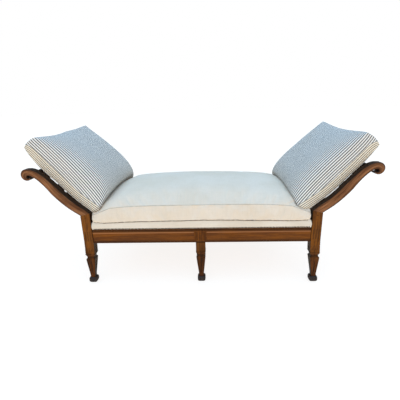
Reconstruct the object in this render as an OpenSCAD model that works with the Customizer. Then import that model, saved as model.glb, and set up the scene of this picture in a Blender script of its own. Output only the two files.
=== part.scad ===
/* [Frame] */
// Distance between the centres of the left and right legs
leg_spacing = 1343; // [1200:1:1500]
// Depth over the outer faces of the front and back legs
frame_depth = 750; // [650:1:850]
// Height of the underside of the seat rails above the floor
rail_bottom = 270; // [255:1:300]
// Height of a seat rail
rail_h = 97; // [88:1:110]
// Thickness of a seat rail
rail_t = 32; // [30:0.5:36]
// How far a rail's face lies behind the legs' faces
rail_setback = 4; // [2:0.5:6]
// Width and depth of the cross bearer under the webbing
bearer_w = 45; // [30:1:60]

/* [Legs] */
// Width and depth of the square post
post_w = 57; // [52:0.5:62]
// Height of the middle of the mitre where an arm meets its post
elbow_z = 454.5; // [440:0.5:480]
// Slope of that mitre, down towards the outside, in degrees
mitre_angle = 16; // [8:0.5:24]
// Width of a middle leg under its rail
middle_leg_w = 56; // [50:0.5:60]
// Width of the tapered lower leg at its top
block_w = 55; // [48:0.5:56]
// Height of the top edge of the lower leg, at the corners
block_top = 165; // [150:1:185]
// How much higher the collar of a middle leg lies
middle_lift = 9; // [0:1:20]
// Height of the chamfer at the top of the lower leg
block_chamfer = 8; // [4:0.5:12]
// Height of the long chamfer at the bottom of the post
collar_chamfer = 15; // [10:0.5:22]
// Width of the neck in the collar
neck_w = 43; // [36:0.5:46]
// Height of that neck
neck_h = 7; // [3:0.5:10]
// Width of the ankle
ankle_w = 30; // [24:0.5:34]
// Height of the ankle above the foot
ankle_h = 16; // [8:0.5:24]
// How far the corner legs spread sideways between the rail and the floor
leg_splay = 11; // [0:0.5:14]
// How far they spread to the front and back
leg_rake = 8; // [0:0.5:14]

/* [Feet] */
// Width of a carved foot
foot_w = 49; // [42:0.5:54]
// Height of a carved foot
foot_h = 37; // [32:0.5:44]
// Radius of the rounding under a foot
foot_round = 15; // [8:0.5:18]
// Radius of the grooves between the toes
toe_r = 3; // [2:0.25:4]
// Diameter of the dowel that holds a foot
dowel_d = 12; // [10:0.5:16]
// How far the dowel goes into the foot, and into the leg
dowel_in = 22; // [16:1:26]

/* [Arms] */
// Thickness of an arm from front to back
arm_w = 48; // [40:1:52]
// Where the arm's middle line starts, in from the post's middle
arm_start_in = 9; // [4:0.5:11]
// Where the arm's middle line starts, below the mitre's middle
arm_start_down = 6; // [4:0.5:9]
// Direction of the middle line at the elbow, in degrees
arm_start_angle = 46; // [42:0.5:50]
// Length of the curve's handle there
arm_start_pull = 51; // [30:1:70]
// Reach of the middle line to its steepest point
arm_mid_run = 170; // [150:1:190]
// Rise of the middle line to its steepest point
arm_mid_rise = 154; // [140:1:170]
// Direction of the middle line at its steepest point, in degrees
arm_mid_angle = 51; // [48:0.5:54]
// Length of the curve's handle below that point
arm_mid_pull = 140; // [100:1:150]
// Length of the curve's handle above that point
arm_mid_push = 20; // [12:1:40]
// Reach of the middle line to the top of the scroll
arm_run = 300; // [280:1:320]
// Rise of the middle line to the top of the scroll
arm_rise = 264; // [245:1:280]
// Length of the curve's handle at the scroll
arm_end_pull = 50; // [36:1:60]
// Thickness of the arm at the elbow, seen from the front
arm_t_start = 51; // [44:0.5:54]
// Thickness of the arm half way
arm_t_mid = 53; // [44:0.5:56]
// Thickness of the arm where it turns into the scroll
arm_t_end = 37; // [30:0.5:40]
// Radius of the scroll
scroll_r = 34.5; // [28:0.5:36]
// How far the scroll's centre lies beyond the end of the middle line
scroll_out = 10; // [4:0.5:12]
// Width of the tenon that an arm sends down into its post
arm_tenon_w = 24; // [18:1:30]
// Thickness of that tenon, front to back
arm_tenon_t = 14; // [10:0.5:18]
// Length of that tenon below the mitre
arm_tenon_l = 44; // [34:1:56]
// Diameter of the peg through the elbow
peg_d = 8; // [6:0.5:10]
// How far the peg stands out of the post
peg_proud = 1; // [0.5:0.25:2]
// Distance of the peg below the mitre
peg_down = 20; // [15:1:28]

/* [Slats] */
// Thickness of the slats between two arms
slat_t = 14; // [10:0.5:18]
// How far the slats lie below the arms' upper edge
slat_down = 3; // [2:0.5:6]
// Depth of the mortise that a slat's end sits in
slat_in = 12; // [8:1:16]

/* [Upholstered deck] */
// Thickness of the linen cover on the deck
cover_t = 2.5; // [1.5:0.25:3.5]
// Height of the nailed edge of the cover over the rail's rebate
cover_lap = 8; // [6:0.5:14]
// Gap between the deck and the posts
deck_gap = 3; // [1.5:0.25:5]
// Height of the deck above the rail's top, at its ends
deck_h = 41; // [36:1:54]
// How much higher the deck is in the middle
deck_crown = 14; // [10:1:26]
// Width of a webbing strap
strap_w = 50; // [40:1:60]
// Thickness of a webbing strap
strap_t = 2; // [1.5:0.25:3]
// Thickness of the hessian
hessian_t = 1; // [0.75:0.25:2]
// Diameter of a nail's head
nail_d = 7.5; // [6:0.25:8.25]
// Thickness of a nail's head
nail_t = 2; // [1.5:0.25:3]
// Distance from nail to nail
nail_pitch = 8.5; // [8:0.25:14]

/* [Seat cushion] */
// Gap between the seat cushion and the posts at either end
seat_end_gap = 5; // [3:0.5:12]
// How far the seat cushion stays behind the legs' outer faces
seat_inset = 6; // [0:0.5:12]
// Height of the top seam in the middle of the cushion
seat_seam_z = 500; // [480:1:520]
// How far that seam drops at the ends
seat_seam_drop = 34; // [10:1:36]
// Height of the crown above the top seam
seat_crown = 82; // [50:1:95]
// How far the long sides draw in between the corners
seat_pull = 6; // [0:0.5:12]
// How far the boxing swells out between its seams
seat_swell = 7; // [3:0.5:12]

/* [Pillows] */
// Length of a pillow up the slope
pillow_l = 528; // [460:1:550]
// How far a pillow stays behind the arms' outer faces
pillow_inset = 23; // [16:1:60]
// Height of the boxing in the middle of a side
pillow_t = 100; // [80:1:110]
// How far the face's corners lie in front of a pillow's middle plane
pillow_face_corner = 48; // [40:1:54]
// How far the back's corners lie behind that plane
pillow_back_corner = 22; // [16:1:40]
// How much further out both lie at the top, and how much less at the bottom
pillow_wedge = 7; // [0:0.5:10]
// Height of the crown at the back
pillow_back_crown = 24; // [10:1:40]
// How far the sides draw in between the corners
pillow_pull = 16; // [4:1:24]
// How far the boxing swells out between its seams
pillow_swell = 6; // [3:0.5:10]
// How much fuller the lower half of a pillow's face is than the upper, as a share of its crown
pillow_slump_share = 0.2; // [0:0.05:0.4]
// How far the face's lower edge hangs forward between its corners
pillow_belly = 46; // [0:1:56]
// Slope of the left pillow in degrees
left_pillow_angle = 51.3; // [47:0.1:53]
// Distance of the left pillow's middle out from the posts' middle
left_pillow_out = 114; // [104:1:126]
// Distance of the left pillow's middle up from the seat's seam
left_pillow_up = 175; // [165:1:190]
// Height of the left pillow's crown over its front seam
left_pillow_crown = 112; // [60:1:120]
// How far the left pillow's back end lies up the slope, and its front end down
left_pillow_skew = 5; // [0:0.5:20]
// Slope of the right pillow in degrees
right_pillow_angle = 46.6; // [45:0.1:52]
// Distance of the right pillow's middle out from the posts' middle
right_pillow_out = 110; // [100:1:122]
// Distance of the right pillow's middle up from the seat's seam
right_pillow_up = 156; // [148:1:170]
// Height of the right pillow's crown over its front seam
right_pillow_crown = 96; // [60:1:120]
// How far the right pillow's back end lies up the slope, and its front end down
right_pillow_skew = 8; // [0:0.5:20]

/* [Fit] */
// Air between a loose cushion and what it lies on
rest_gap = 0.3; // [0.2:0.05:0.6]
// Radial clearance of a screw or dowel in its hole
hole_gap = 0.1; // [0.05:0.05:0.2]

/* [Hidden] */
wood = "#8a5632";
dark_wood = "#4a3324";
linen = "#e6dac4";
ticking = "#c9cdd2";
// Overrun of a cut past the face that it opens
over = 1;
// Length that is longer than any piece that a half-space cuts
beyond = 3 * post_w;

// Middle of the legs
post_x = leg_spacing / 2;
post_y = (frame_depth - post_w) / 2;
post_in_x = post_x - post_w / 2;
post_out_x = post_x + post_w / 2;
post_in_y = post_y - post_w / 2;
rail_top = rail_bottom + rail_h;
rail_face_y = frame_depth / 2 - rail_setback;
rail_back_y = rail_face_y - rail_t;
end_face_x = post_out_x - rail_setback;
end_back_x = end_face_x - rail_t;
// Rail tenons: thickness, shoulders above and below, and how far each goes in
tenon_t = 12;
tenon_shoulder = 12;
front_tenon_l = 30;
tenon_spacing = 2;
end_tenon_l = post_w - rail_setback - (rail_t + tenon_t) / 2 - tenon_spacing;
// Grooves that mark the bead along a rail's lower edge and the fillet under the cover
bead_h = 9;
groove_w = 2;
groove_d = 2;
// The tenon at the top of a middle leg, and the stub tenon of the cross bearer
leg_tenon_w = 34;
leg_tenon_t = 14;
leg_tenon_l = 48;
bearer_tenon_l = 8;
bearer_drop = 18;
// Carved tablet over a middle leg
tablet_w = 74;
tablet_seat = 2;
tablet_proud = 3;
tablet_margin = 2;
flute_r = 5;
flute_pitch = 21;
flute_end = 8;
// Middle of a middle leg, and of a corner foot, which stands out with the spread of its leg
middle_y = rail_face_y - middle_leg_w / 2 + tablet_proud;
foot_at_x = post_x + leg_splay * (1 - foot_h / rail_bottom);
foot_at_y = post_y + leg_rake * (1 - foot_h / rail_bottom);
// Chamfer around the top of a foot
foot_edge = 2.5;
// Width of a foot over its rounded corners, as a share of its width
foot_corner_share = 1.3;
// Corner blocks and their screws
block_leg = 70;
corner_block_h = 52;
screw_d = 5;
screw_head_d = 9;
screw_head_t = 3;
screw_bite = 22;
screw_spacing = 28;
block_face = ([post_in_x - block_leg, rail_back_y] + [end_back_x, post_in_y - block_leg]) / 2;
block_turn = atan2(post_in_y - block_face.y, post_in_x - block_face.x);
block_depth = norm([post_in_x, post_in_y] - block_face);

// Where the middle line of an arm lies, as points [x, z] on two joined curves
arm_steps = 16;
arm_a = [post_x - arm_start_in, elbow_z - arm_start_down];
arm_m = arm_a + [arm_mid_run, arm_mid_rise];
arm_e = arm_a + [arm_run, arm_rise];
low_curve = [arm_a, arm_a + arm_start_pull * heading(arm_start_angle),
    arm_m - arm_mid_pull * heading(arm_mid_angle), arm_m];
high_curve = [arm_m, arm_m + arm_mid_push * heading(arm_mid_angle),
    arm_e - [arm_end_pull, 0], arm_e];
scroll_centre = [arm_e.x + scroll_out, arm_e.y + arm_t_end / 2 - scroll_r];
// How far the arm's blank runs down past its start, before the mitre cuts it
arm_root = 60;
// Where each slat starts and ends, as shares of the two curves counted one after the other
left_slat_shares = [[1.48, 1.82], [0.92, 1.18], [0.44, 0.87]];
right_slat_shares = [[1.40, 1.82], [0.90, 1.04], [0.16, 0.55]];

// The plane that just clears the upper edges of the arms, where the pillows lean
lean_angle = 43.4;
lean_normal = [-sin(lean_angle), cos(lean_angle)];
lean_reach = max([for (t = [0:1 / arm_steps:2]) arm_edge(t, 1) * lean_normal]);
// The loose cushions keep to the frame
seat_l = 2 * (post_in_x - seat_end_gap);
seat_d = frame_depth - 2 * seat_inset;
pillow_w = frame_depth - 2 * pillow_inset;
// The plane at the seat's end, where the pillows stand
foot_inset = 72;
foot_lift = 2;
foot_x = seat_l / 2 - foot_inset;
foot_z = seat_seam_z + foot_lift;
foot_angle = 21.4;
foot_normal = [sin(foot_angle), cos(foot_angle)];
foot_reach = [foot_x, foot_z] * foot_normal;
// Middle of each pillow, out from the seat's end and up from its seam
left_centre = [post_x + left_pillow_out, seat_seam_z + left_pillow_up];
right_centre = [post_x + right_pillow_out, seat_seam_z + right_pillow_up];
// How far the corners of a cushion are rounded in
seat_corner = 14;
pillow_corner = 8;
// Deck, straps and hessian
deck_x = post_in_x - deck_gap;
wing_y = post_in_y - deck_gap;
pad_bottom = rail_top + 2 * strap_t + hessian_t;
deck_steps = 12;
strap_gap = 4;
strap_inset = cover_t + strap_gap;
cross_straps = 11;
long_straps = 5;
nail_end = 9;
// Grid of a cushion: cells along, cells across, rows of the boxing
seat_cells = [22, 16, 4];
pillow_cells = [16, 18, 4];

function heading(a) = [cos(a), sin(a)];
function mix(a, b, t) = a + (b - a) * t;
function curve(p, t) = pow(1 - t, 3) * p[0] + 3 * pow(1 - t, 2) * t * p[1]
    + 3 * (1 - t) * t * t * p[2] + pow(t, 3) * p[3];
function slope(p, t) = pow(1 - t, 2) * (p[1] - p[0]) + 2 * (1 - t) * t * (p[2] - p[1])
    + t * t * (p[3] - p[2]);
function arm_point(t) = t < 1 ? curve(low_curve, t) : curve(high_curve, t - 1);
function arm_way(t) = t < 1 ? slope(low_curve, t) : slope(high_curve, t - 1);
function arm_left(t) = [-arm_way(t).y, arm_way(t).x] / norm(arm_way(t));
function arm_t(t) = t < 1 ? mix(arm_t_start, arm_t_mid, t) : mix(arm_t_mid, arm_t_end, t - 1);
// A point on the arm's upper edge (side 1), its middle (0) or its lower edge (-1)
function arm_edge(t, side) = arm_point(t) + arm_left(t) * side * arm_t(t) / 2;
function arm_inside(t, depth) = arm_point(t) + arm_left(t) * (arm_t(t) / 2 - depth);
// Height of the deck and of the cushion's top seam at a distance from the middle
function deck_z(x) = rail_top + deck_h + deck_crown * (1 - pow(x / deck_x, 2));
function seam_z(x) = seat_seam_z - seat_seam_drop * pow(2 * x / seat_l, 4);
// Moves a point [x, z] along a plane's normal until it is the gap clear of the plane
function clear(p, normal, reach, gap) = p + normal * max(0, reach + gap - p * normal);
// Even steps from -1 to 1 that gather towards both ends
function gather(i, n) = sin(180 * i / n - 90);
function swell(s, w) = abs(s) > 0.9999 ? sign(s) * (1 - w * w) : 0;

// Seat cushion: u and v run from -1 to 1 over it, w is 1 on top and -1 underneath
seat_point = function(u, v, w)
    let (corner = seat_corner * pow(u * v, 8),
        x = u * (seat_l / 2 - seat_swell - corner) + seat_swell * swell(u, w),
        y = v * (seat_d / 2 - seat_swell - corner - seat_pull * (1 - u * u)) + seat_swell * swell(v, w),
        puff = pow(1 - pow(u, 2), 0.45) * pow(1 - pow(v, 2), 0.62),
        top = seam_z(x) + seat_crown * puff,
        shaved = min(top, (foot_reach - abs(x) * foot_normal.x) / foot_normal.y))
    [x, y, mix(deck_z(x) + rest_gap, shaved, (w + 1) / 2)];

// Right-hand pillow, before it is cut off flat at the planes that it rests on
function pillow_point(centre, tilt, crown, skew) = function(u, v, w)
    let (corner = pillow_corner * pow(u * v, 8),
        s = u * (pillow_l / 2 - pillow_swell - corner - pillow_pull * (1 - v * v) * u * u)
            + pillow_swell * swell(u, w) + skew * v,
        y = v * (pillow_w / 2 - pillow_swell - corner - pillow_pull * (1 - u * u) * v * v)
            + pillow_swell * swell(v, w),
        puff = pow((1 - u * u) * (1 - pow(v, 4)), 0.5),
        belly = pillow_belly * pow((1 - u) / 2, 2) * (1 - pow(v, 4)),
        face = mix(pillow_t / 2, pillow_face_corner + pillow_wedge * u, pow(u * v, 2)) + belly
            + crown * (1 - pillow_slump_share * u) * puff,
        back = mix(pillow_t / 2, pillow_back_corner + pillow_wedge * u, pow(u * v, 2))
            + pillow_back_crown * puff,
        n = mix(-back, face, (w + 1) / 2),
        raw = centre + s * heading(tilt) + n * heading(tilt + 90),
        leaned = clear(raw, lean_normal, lean_reach, rest_gap),
        stood = clear(leaned, foot_normal, foot_reach, rest_gap))
    [stood.x, y, stood.y];

// A closed skin of triangles over a grid: top, underside and the boxing between them
module padded_form(point, cells) {
    nu = cells[0];
    nv = cells[1];
    rows = cells[2];
    grid = (nu + 1) * (nv + 1);
    rim = 2 * (nu + nv);
    function place(k) = k < nu ? [k, 0] : k < nu + nv ? [nu, k - nu]
        : k < 2 * nu + nv ? [2 * nu + nv - k, nv] : [0, rim - k];
    function flat(p) = p[0] * (nv + 1) + p[1];
    function ring(r, k) = r == 0 ? flat(place(k % rim)) : r == rows ? grid + flat(place(k % rim))
        : 2 * grid + (r - 1) * rim + k % rim;
    face = [for (w = [1, -1], i = [0:nu], j = [0:nv]) point(gather(i, nu), gather(j, nv), w)];
    side = [for (r = [1:rows - 1], k = [0:rim - 1])
        let (p = place(k)) point(gather(p[0], nu), gather(p[1], nv), 1 - 2 * r / rows)];
    upper = [for (i = [0:nu - 1], j = [0:nv - 1])
        let (a = flat([i, j]), b = flat([i + 1, j]), c = flat([i + 1, j + 1]), d = flat([i, j + 1]))
        each [[a, c, b], [a, d, c]]];
    lower = [for (f = upper) [grid + f[0], grid + f[2], grid + f[1]]];
    walls = [for (r = [0:rows - 1], k = [0:rim - 1])
        let (a = ring(r, k), b = ring(r, k + 1), c = ring(r + 1, k + 1), d = ring(r + 1, k))
        each [[a, b, c], [a, c, d]]];
    polyhedron(concat(face, side), concat(upper, lower, walls));
}

// Puts a right-hand back piece at any corner: side is -1 left or 1 right, row is -1 front or 1 back
module corner(side, row) {
    mirror([side < 0 ? 1 : 0, 0, 0]) mirror([0, row < 0 ? 1 : 0, 0]) children();
}

module box(low, high) {
    translate(low) cube(high - low);
}

// An outline in the front view, [x, z], as thick as y_low to y_high
module upright(y_low, y_high, outline) {
    translate([0, y_high, 0]) rotate([90, 0, 0]) linear_extrude(y_high - y_low) polygon(outline);
}

// All that lies above the mitre of a right-hand back post
module above_mitre() {
    translate([post_x, post_y, elbow_z]) rotate([0, mitre_angle, 0])
        translate([-beyond, -beyond, 0]) cube([2 * beyond, 2 * beyond, 2 * beyond]);
}

// A rail along X with its face towards +Y: length between the posts, and its section
module long_rail_blank() {
    difference() {
        union() {
            box([-post_in_x, rail_back_y, rail_bottom], [post_in_x, rail_face_y, rail_top]);
            for (side = [-1, 1]) corner(side, 1) long_tenon();
        }
        box([-post_in_x - over, rail_face_y - cover_t, rail_top - cover_lap],
            [post_in_x + over, rail_face_y + over, rail_top + over]);
        for (z = [rail_bottom + bead_h, rail_top - cover_lap - bead_h])
            box([-post_in_x - over, rail_face_y - groove_d, z],
                [post_in_x + over, rail_face_y + over, z + groove_w]);
        middle_tenon();
        bearer_tenon();
        tablet_blank(0);
    }
}

module long_tenon() {
    mid = (rail_face_y + rail_back_y) / 2;
    box([post_in_x - over, mid - tenon_t / 2, rail_bottom + tenon_shoulder],
        [post_in_x + front_tenon_l, mid + tenon_t / 2, rail_top - cover_lap - tenon_shoulder]);
}

module end_tenon() {
    mid = (end_face_x + end_back_x) / 2;
    box([mid - tenon_t / 2, post_in_y - over, rail_bottom + tenon_shoulder],
        [mid + tenon_t / 2, post_in_y + end_tenon_l, rail_top - cover_lap - tenon_shoulder]);
}

module front_rail() {
    color(wood) corner(1, -1) long_rail_blank();
}

module back_rail() {
    color(wood) long_rail_blank();
}

module end_rail(side) {
    color(wood) corner(side, 1) difference() {
        union() {
            box([end_back_x, -post_in_y, rail_bottom], [end_face_x, post_in_y, rail_top]);
            end_tenon();
            corner(1, -1) end_tenon();
        }
        box([end_face_x - cover_t, -post_in_y - over, rail_top - cover_lap],
            [end_face_x + over, post_in_y + over, rail_top + over]);
        for (z = [rail_bottom + bead_h, rail_top - cover_lap - bead_h])
            box([end_face_x - groove_d, -post_in_y - over, z],
                [end_face_x + over, post_in_y + over, z + groove_w]);
    }
}

// Stub tenon of the cross bearer, on the +Y side
module bearer_tenon() {
    box([-bearer_w / 2, rail_back_y - over, rail_bottom + tenon_shoulder],
        [bearer_w / 2, rail_back_y + bearer_tenon_l, rail_top - bearer_drop - tenon_shoulder]);
}

module cross_bearer() {
    color(wood) {
        box([-bearer_w / 2, -rail_back_y, rail_bottom + tenon_shoulder],
            [bearer_w / 2, rail_back_y, rail_top - bearer_drop]);
        bearer_tenon();
        corner(1, -1) bearer_tenon();
    }
}

// Half outline of a leg, [half width, height], from the foot to the height of its top
function leg_half(width, lift, top) = [
    [ankle_w / 2, foot_h],
    [ankle_w / 2, foot_h + ankle_h],
    [block_w / 2, block_top + lift],
    [neck_w / 2, block_top + lift + block_chamfer],
    [neck_w / 2, block_top + lift + block_chamfer + neck_h],
    [width / 2, block_top + lift + block_chamfer + neck_h + collar_chamfer],
    [width / 2, rail_bottom],
    [width / 2, top]];
// The whole outline, of which all below the rail leans out, by the spread at the floor
function both_halves(half, splay = 0) = let (lean = function(p, side)
        [side * p.x + splay * max(0, 1 - p.y / rail_bottom), p.y])
    concat([for (p = half) lean(p, 1)], [for (i = [len(half) - 1:-1:0]) lean(half[i], -1)]);

// A square leg about the Z axis, shaped alike on all four sides but for its spread
module leg_shape(width, lift, top, splay, rake) {
    half = leg_half(width, lift, top);
    intersection() {
        upright(-width, width, both_halves(half, splay));
        rotate([0, 0, 90]) upright(-width, width, both_halves(half, rake));
    }
}

module dowel(gap) {
    translate([0, 0, foot_h - dowel_in]) cylinder(d = dowel_d + 2 * gap, h = 2 * dowel_in, $fn = 32);
}

module corner_leg(side, row) {
    color(wood) corner(side, row) difference() {
        translate([post_x, post_y, 0]) leg_shape(post_w, 0, elbow_z + post_w, leg_splay, leg_rake);
        above_mitre();
        translate([foot_at_x, foot_at_y, 0]) dowel(hole_gap);
        long_tenon();
        end_tenon();
        arm_tenon();
        arm_peg(hole_gap);
        block_screws(hole_gap);
    }
}

module middle_tenon() {
    box([-leg_tenon_w / 2, (rail_face_y + rail_back_y - leg_tenon_t) / 2, rail_bottom - over],
        [leg_tenon_w / 2, (rail_face_y + rail_back_y + leg_tenon_t) / 2, rail_bottom + leg_tenon_l]);
}

module middle_leg(row) {
    color(wood) corner(1, row) difference() {
        union() {
            translate([0, middle_y, 0]) leg_shape(middle_leg_w, middle_lift, rail_bottom, 0, 0);
            middle_tenon();
        }
        translate([0, middle_y, 0]) dowel(hole_gap);
    }
}

// A carved block foot about the Z axis: rounded underneath, with toes on each side
function foot_half() = concat(
    [for (a = [0:15:90]) [foot_w / 2 - foot_round + foot_round * sin(a), foot_round * (1 - cos(a))]],
    [[foot_w / 2, foot_h - foot_edge], [foot_w / 2 - foot_edge, foot_h]]);
module foot_shape() {
    difference() {
        intersection() {
            upright(-foot_w, foot_w, both_halves(foot_half()));
            rotate([0, 0, 90]) upright(-foot_w, foot_w, both_halves(foot_half()));
            cylinder(d = foot_w * foot_corner_share, h = foot_h, $fn = 64);
        }
        for (turn = [0:90:270], place = [-1, 1]) rotate([0, 0, turn])
            translate([place * foot_w / 6, foot_w / 2 + toe_r / 3, -over])
                cylinder(r = toe_r, h = foot_h + 2 * over, $fn = 24);
        dowel(hole_gap);
    }
}

module corner_foot(side, row) {
    color(dark_wood) corner(side, row) translate([foot_at_x, foot_at_y, 0]) foot_shape();
}

module middle_foot(row) {
    color(dark_wood) corner(1, row) translate([0, middle_y, 0]) foot_shape();
}

module foot_dowels() {
    color(wood) for (row = [-1, 1]) {
        for (side = [-1, 1]) corner(side, row) translate([foot_at_x, foot_at_y, 0]) dowel(0);
        corner(1, row) translate([0, middle_y, 0]) dowel(0);
    }
}

// Outline of an arm without its scroll, from below the mitre to the scroll's top
function arm_outline() =
    let (way = heading(arm_start_angle), root = arm_a - arm_root * way,
        left = [-way.y, way.x] * arm_t_start / 2)
    concat([root + left], [for (i = [0:2 * arm_steps]) arm_edge(i / arm_steps, 1)],
        [for (i = [2 * arm_steps:-1:0]) arm_edge(i / arm_steps, -1)], [root - left]);

// Tenon that an arm sends down into its post
module arm_tenon() {
    box([post_x - arm_tenon_w / 2, post_y - arm_tenon_t / 2, elbow_z - arm_tenon_l],
        [post_x + arm_tenon_w / 2, post_y + arm_tenon_t / 2, elbow_z]);
}

// Peg across the elbow, of which the ends stand a little proud
module arm_peg(gap) {
    translate([post_x, post_y - post_w / 2 - peg_proud, elbow_z - peg_down]) rotate([-90, 0, 0])
        cylinder(d = peg_d + 2 * gap, h = post_w + 2 * peg_proud, $fn = 32);
}

module arm(side, row) {
    color(wood) corner(side, row) difference() {
        union() {
            difference() {
                upright(frame_depth / 2 - arm_w, frame_depth / 2, arm_outline());
                translate([0, 0, -2 * beyond * cos(mitre_angle)])
                    translate([-2 * beyond * sin(mitre_angle), 0, 0]) above_mitre();
            }
            translate([scroll_centre.x, frame_depth / 2, scroll_centre.y]) rotate([90, 0, 0])
                cylinder(r = scroll_r, h = arm_w, $fn = 64);
            arm_tenon();
        }
        for (share = slat_shares(side)) slat_bar(share);
        arm_peg(hole_gap);
    }
}

module arm_pegs() {
    color(dark_wood) for (side = [-1, 1], row = [-1, 1]) corner(side, row) arm_peg(0);
}

function slat_shares(side) = side < 0 ? left_slat_shares : right_slat_shares;
function slat_outline(share) =
    let (steps = 6)
    concat([for (i = [0:steps]) arm_inside(mix(share[0], share[1], i / steps), slat_down)],
        [for (i = [steps:-1:0]) arm_inside(mix(share[0], share[1], i / steps), slat_down + slat_t)]);

// A slat and both its ends, which sit in the arms
module slat_bar(share) {
    half = frame_depth / 2 - arm_w + slat_in;
    upright(-half, half, slat_outline(share));
}

module slat(side, which) {
    color(wood) corner(side, 1) slat_bar(slat_shares(side)[which]);
}

// Blank of the tablet; the carved one stands proud, the seat cut in the rail is as deep as it sits
module tablet_blank(proud) {
    box([-tablet_w / 2, rail_face_y - tablet_seat, rail_bottom + bead_h + tablet_margin],
        [tablet_w / 2, rail_face_y + max(proud, over), rail_top - cover_lap - bead_h - tablet_margin]);
}

module tablet(row) {
    low = rail_bottom + bead_h + tablet_margin + flute_end;
    high = rail_top - cover_lap - bead_h - tablet_margin - flute_end;
    color(wood) corner(1, row) difference() {
        tablet_blank(tablet_proud);
        for (k = [-1:1]) translate([k * flute_pitch, rail_face_y + tablet_proud + flute_r / 2, low])
            cylinder(r = flute_r, h = high - low, $fn = 32);
    }
}

// Block in a corner of the seat frame, between the two rails and the post
module corner_block() {
    difference() {
        translate([0, 0, rail_bottom + tenon_shoulder]) linear_extrude(corner_block_h) polygon([
            [post_in_x - block_leg, rail_back_y], [post_in_x, rail_back_y], [post_in_x, post_in_y],
            [end_back_x, post_in_y], [end_back_x, post_in_y - block_leg]]);
        block_screws(hole_gap);
    }
}

// The two screws of a block, which run level from its long face into the post; a hole starts before it
module block_screws(gap) {
    early = gap > 0 ? over : 0;
    for (place = [-1, 1])
        translate([block_face.x, block_face.y,
                rail_bottom + tenon_shoulder + (corner_block_h + place * screw_spacing) / 2])
            rotate([0, 0, block_turn]) rotate([0, 90, 0]) translate([0, 0, -early])
                cylinder(d = screw_d + 2 * gap, h = block_depth + screw_bite + early, $fn = 24);
}

module corner_blocks() {
    color(wood) for (side = [-1, 1], row = [-1, 1]) corner(side, row) corner_block();
}

module screw_heads() {
    turn = atan2(end_back_x - post_in_x + block_leg, post_in_y - block_leg - rail_back_y);
    for (place = [-1, 1])
        translate([block_face.x, block_face.y,
                rail_bottom + tenon_shoulder + (corner_block_h + place * screw_spacing) / 2])
            rotate([0, 0, turn - 90]) translate([-screw_head_t, 0, 0]) rotate([0, 90, 0])
                cylinder(d = screw_head_d, h = screw_head_t, $fn = 24);
}

module corner_screws() {
    color("#8d7a55") for (side = [-1, 1], row = [-1, 1]) corner(side, row) {
        block_screws(0);
        screw_heads();
    }
}

// Straps in both directions, which lie on the rails' tops
module webbing_cross_straps() {
    reach = rail_face_y - strap_inset;
    pitch = 2 * (deck_x - strap_w) / (cross_straps - 1);
    color("#b89b6a") for (i = [0:cross_straps - 1])
        translate([-deck_x + strap_w / 2 + i * pitch, -reach, rail_top]) cube([strap_w, 2 * reach, strap_t]);
}

module webbing_long_straps() {
    reach = end_face_x - strap_inset;
    pitch = 2 * (wing_y - strap_w) / (long_straps - 1);
    color("#b89b6a") for (i = [0:long_straps - 1])
        translate([-reach, -wing_y + strap_w / 2 + i * pitch, rail_top + strap_t])
            cube([2 * reach, strap_w, strap_t]);
}

// The deck between the posts and its wings over the end rails, drawn in by an inset
module deck_plan(z_low, z_high, inset) {
    box([-deck_x + inset, -rail_face_y + inset, z_low], [deck_x - inset, rail_face_y - inset, z_high]);
    box([-end_face_x + inset, -wing_y + inset, z_low], [end_face_x - inset, wing_y - inset, z_high]);
}

module hessian() {
    color("#a98d5f") deck_plan(rail_top + 2 * strap_t, pad_bottom, cover_t);
}

// The crowned deck, drawn in by an inset on its sides and top
module deck_block(z_low, inset) {
    top = [for (i = [-deck_steps:deck_steps])
        let (x = (deck_x - inset) * i / deck_steps) [x, deck_z(x) - inset]];
    upright(-rail_face_y + inset, rail_face_y - inset,
        concat([[-deck_x + inset, z_low]], top, [[deck_x - inset, z_low]]));
    box([-end_face_x + inset, -wing_y + inset, z_low],
        [end_face_x - inset, wing_y - inset, rail_top + deck_h - inset]);
}

module deck_pad() {
    color("#d8d2c0") deck_block(pad_bottom, cover_t);
}

module deck_cover() {
    color(linen) {
        difference() {
            deck_block(rail_top, 0);
            deck_block(pad_bottom, cover_t);
            deck_plan(rail_top - over, pad_bottom, cover_t);
        }
        for (row = [-1, 1]) corner(1, row)
            box([-deck_x, rail_face_y - cover_t, rail_top - cover_lap], [deck_x, rail_face_y, rail_top]);
        for (side = [-1, 1]) corner(side, 1)
            box([end_face_x - cover_t, -wing_y, rail_top - cover_lap], [end_face_x, wing_y, rail_top]);
    }
}

// A row of nail heads along X on the +Y side, from -reach to reach
module nail_row(reach) {
    count = floor((reach - nail_end) / nail_pitch);
    color("#4b3b2a") for (i = [-count:count])
        translate([i * nail_pitch, 0, rail_top - cover_lap / 2]) rotate([-90, 0, 0])
            cylinder(d = nail_d, h = nail_t, $fn = 6);
}

module long_nails(row) {
    corner(1, row) translate([0, rail_face_y, 0]) nail_row(deck_x);
}

module end_nails(side) {
    corner(side, 1) translate([end_face_x, 0, 0]) rotate([0, 0, -90]) nail_row(wing_y);
}

module seat_cushion() {
    color(linen) padded_form(seat_point, seat_cells);
}

module left_pillow() {
    color(ticking) corner(-1, 1)
        padded_form(pillow_point(left_centre, left_pillow_angle, left_pillow_crown, left_pillow_skew),
            pillow_cells);
}

module right_pillow() {
    color(ticking) padded_form(
        pillow_point(right_centre, right_pillow_angle, right_pillow_crown, right_pillow_skew), pillow_cells);
}

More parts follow.
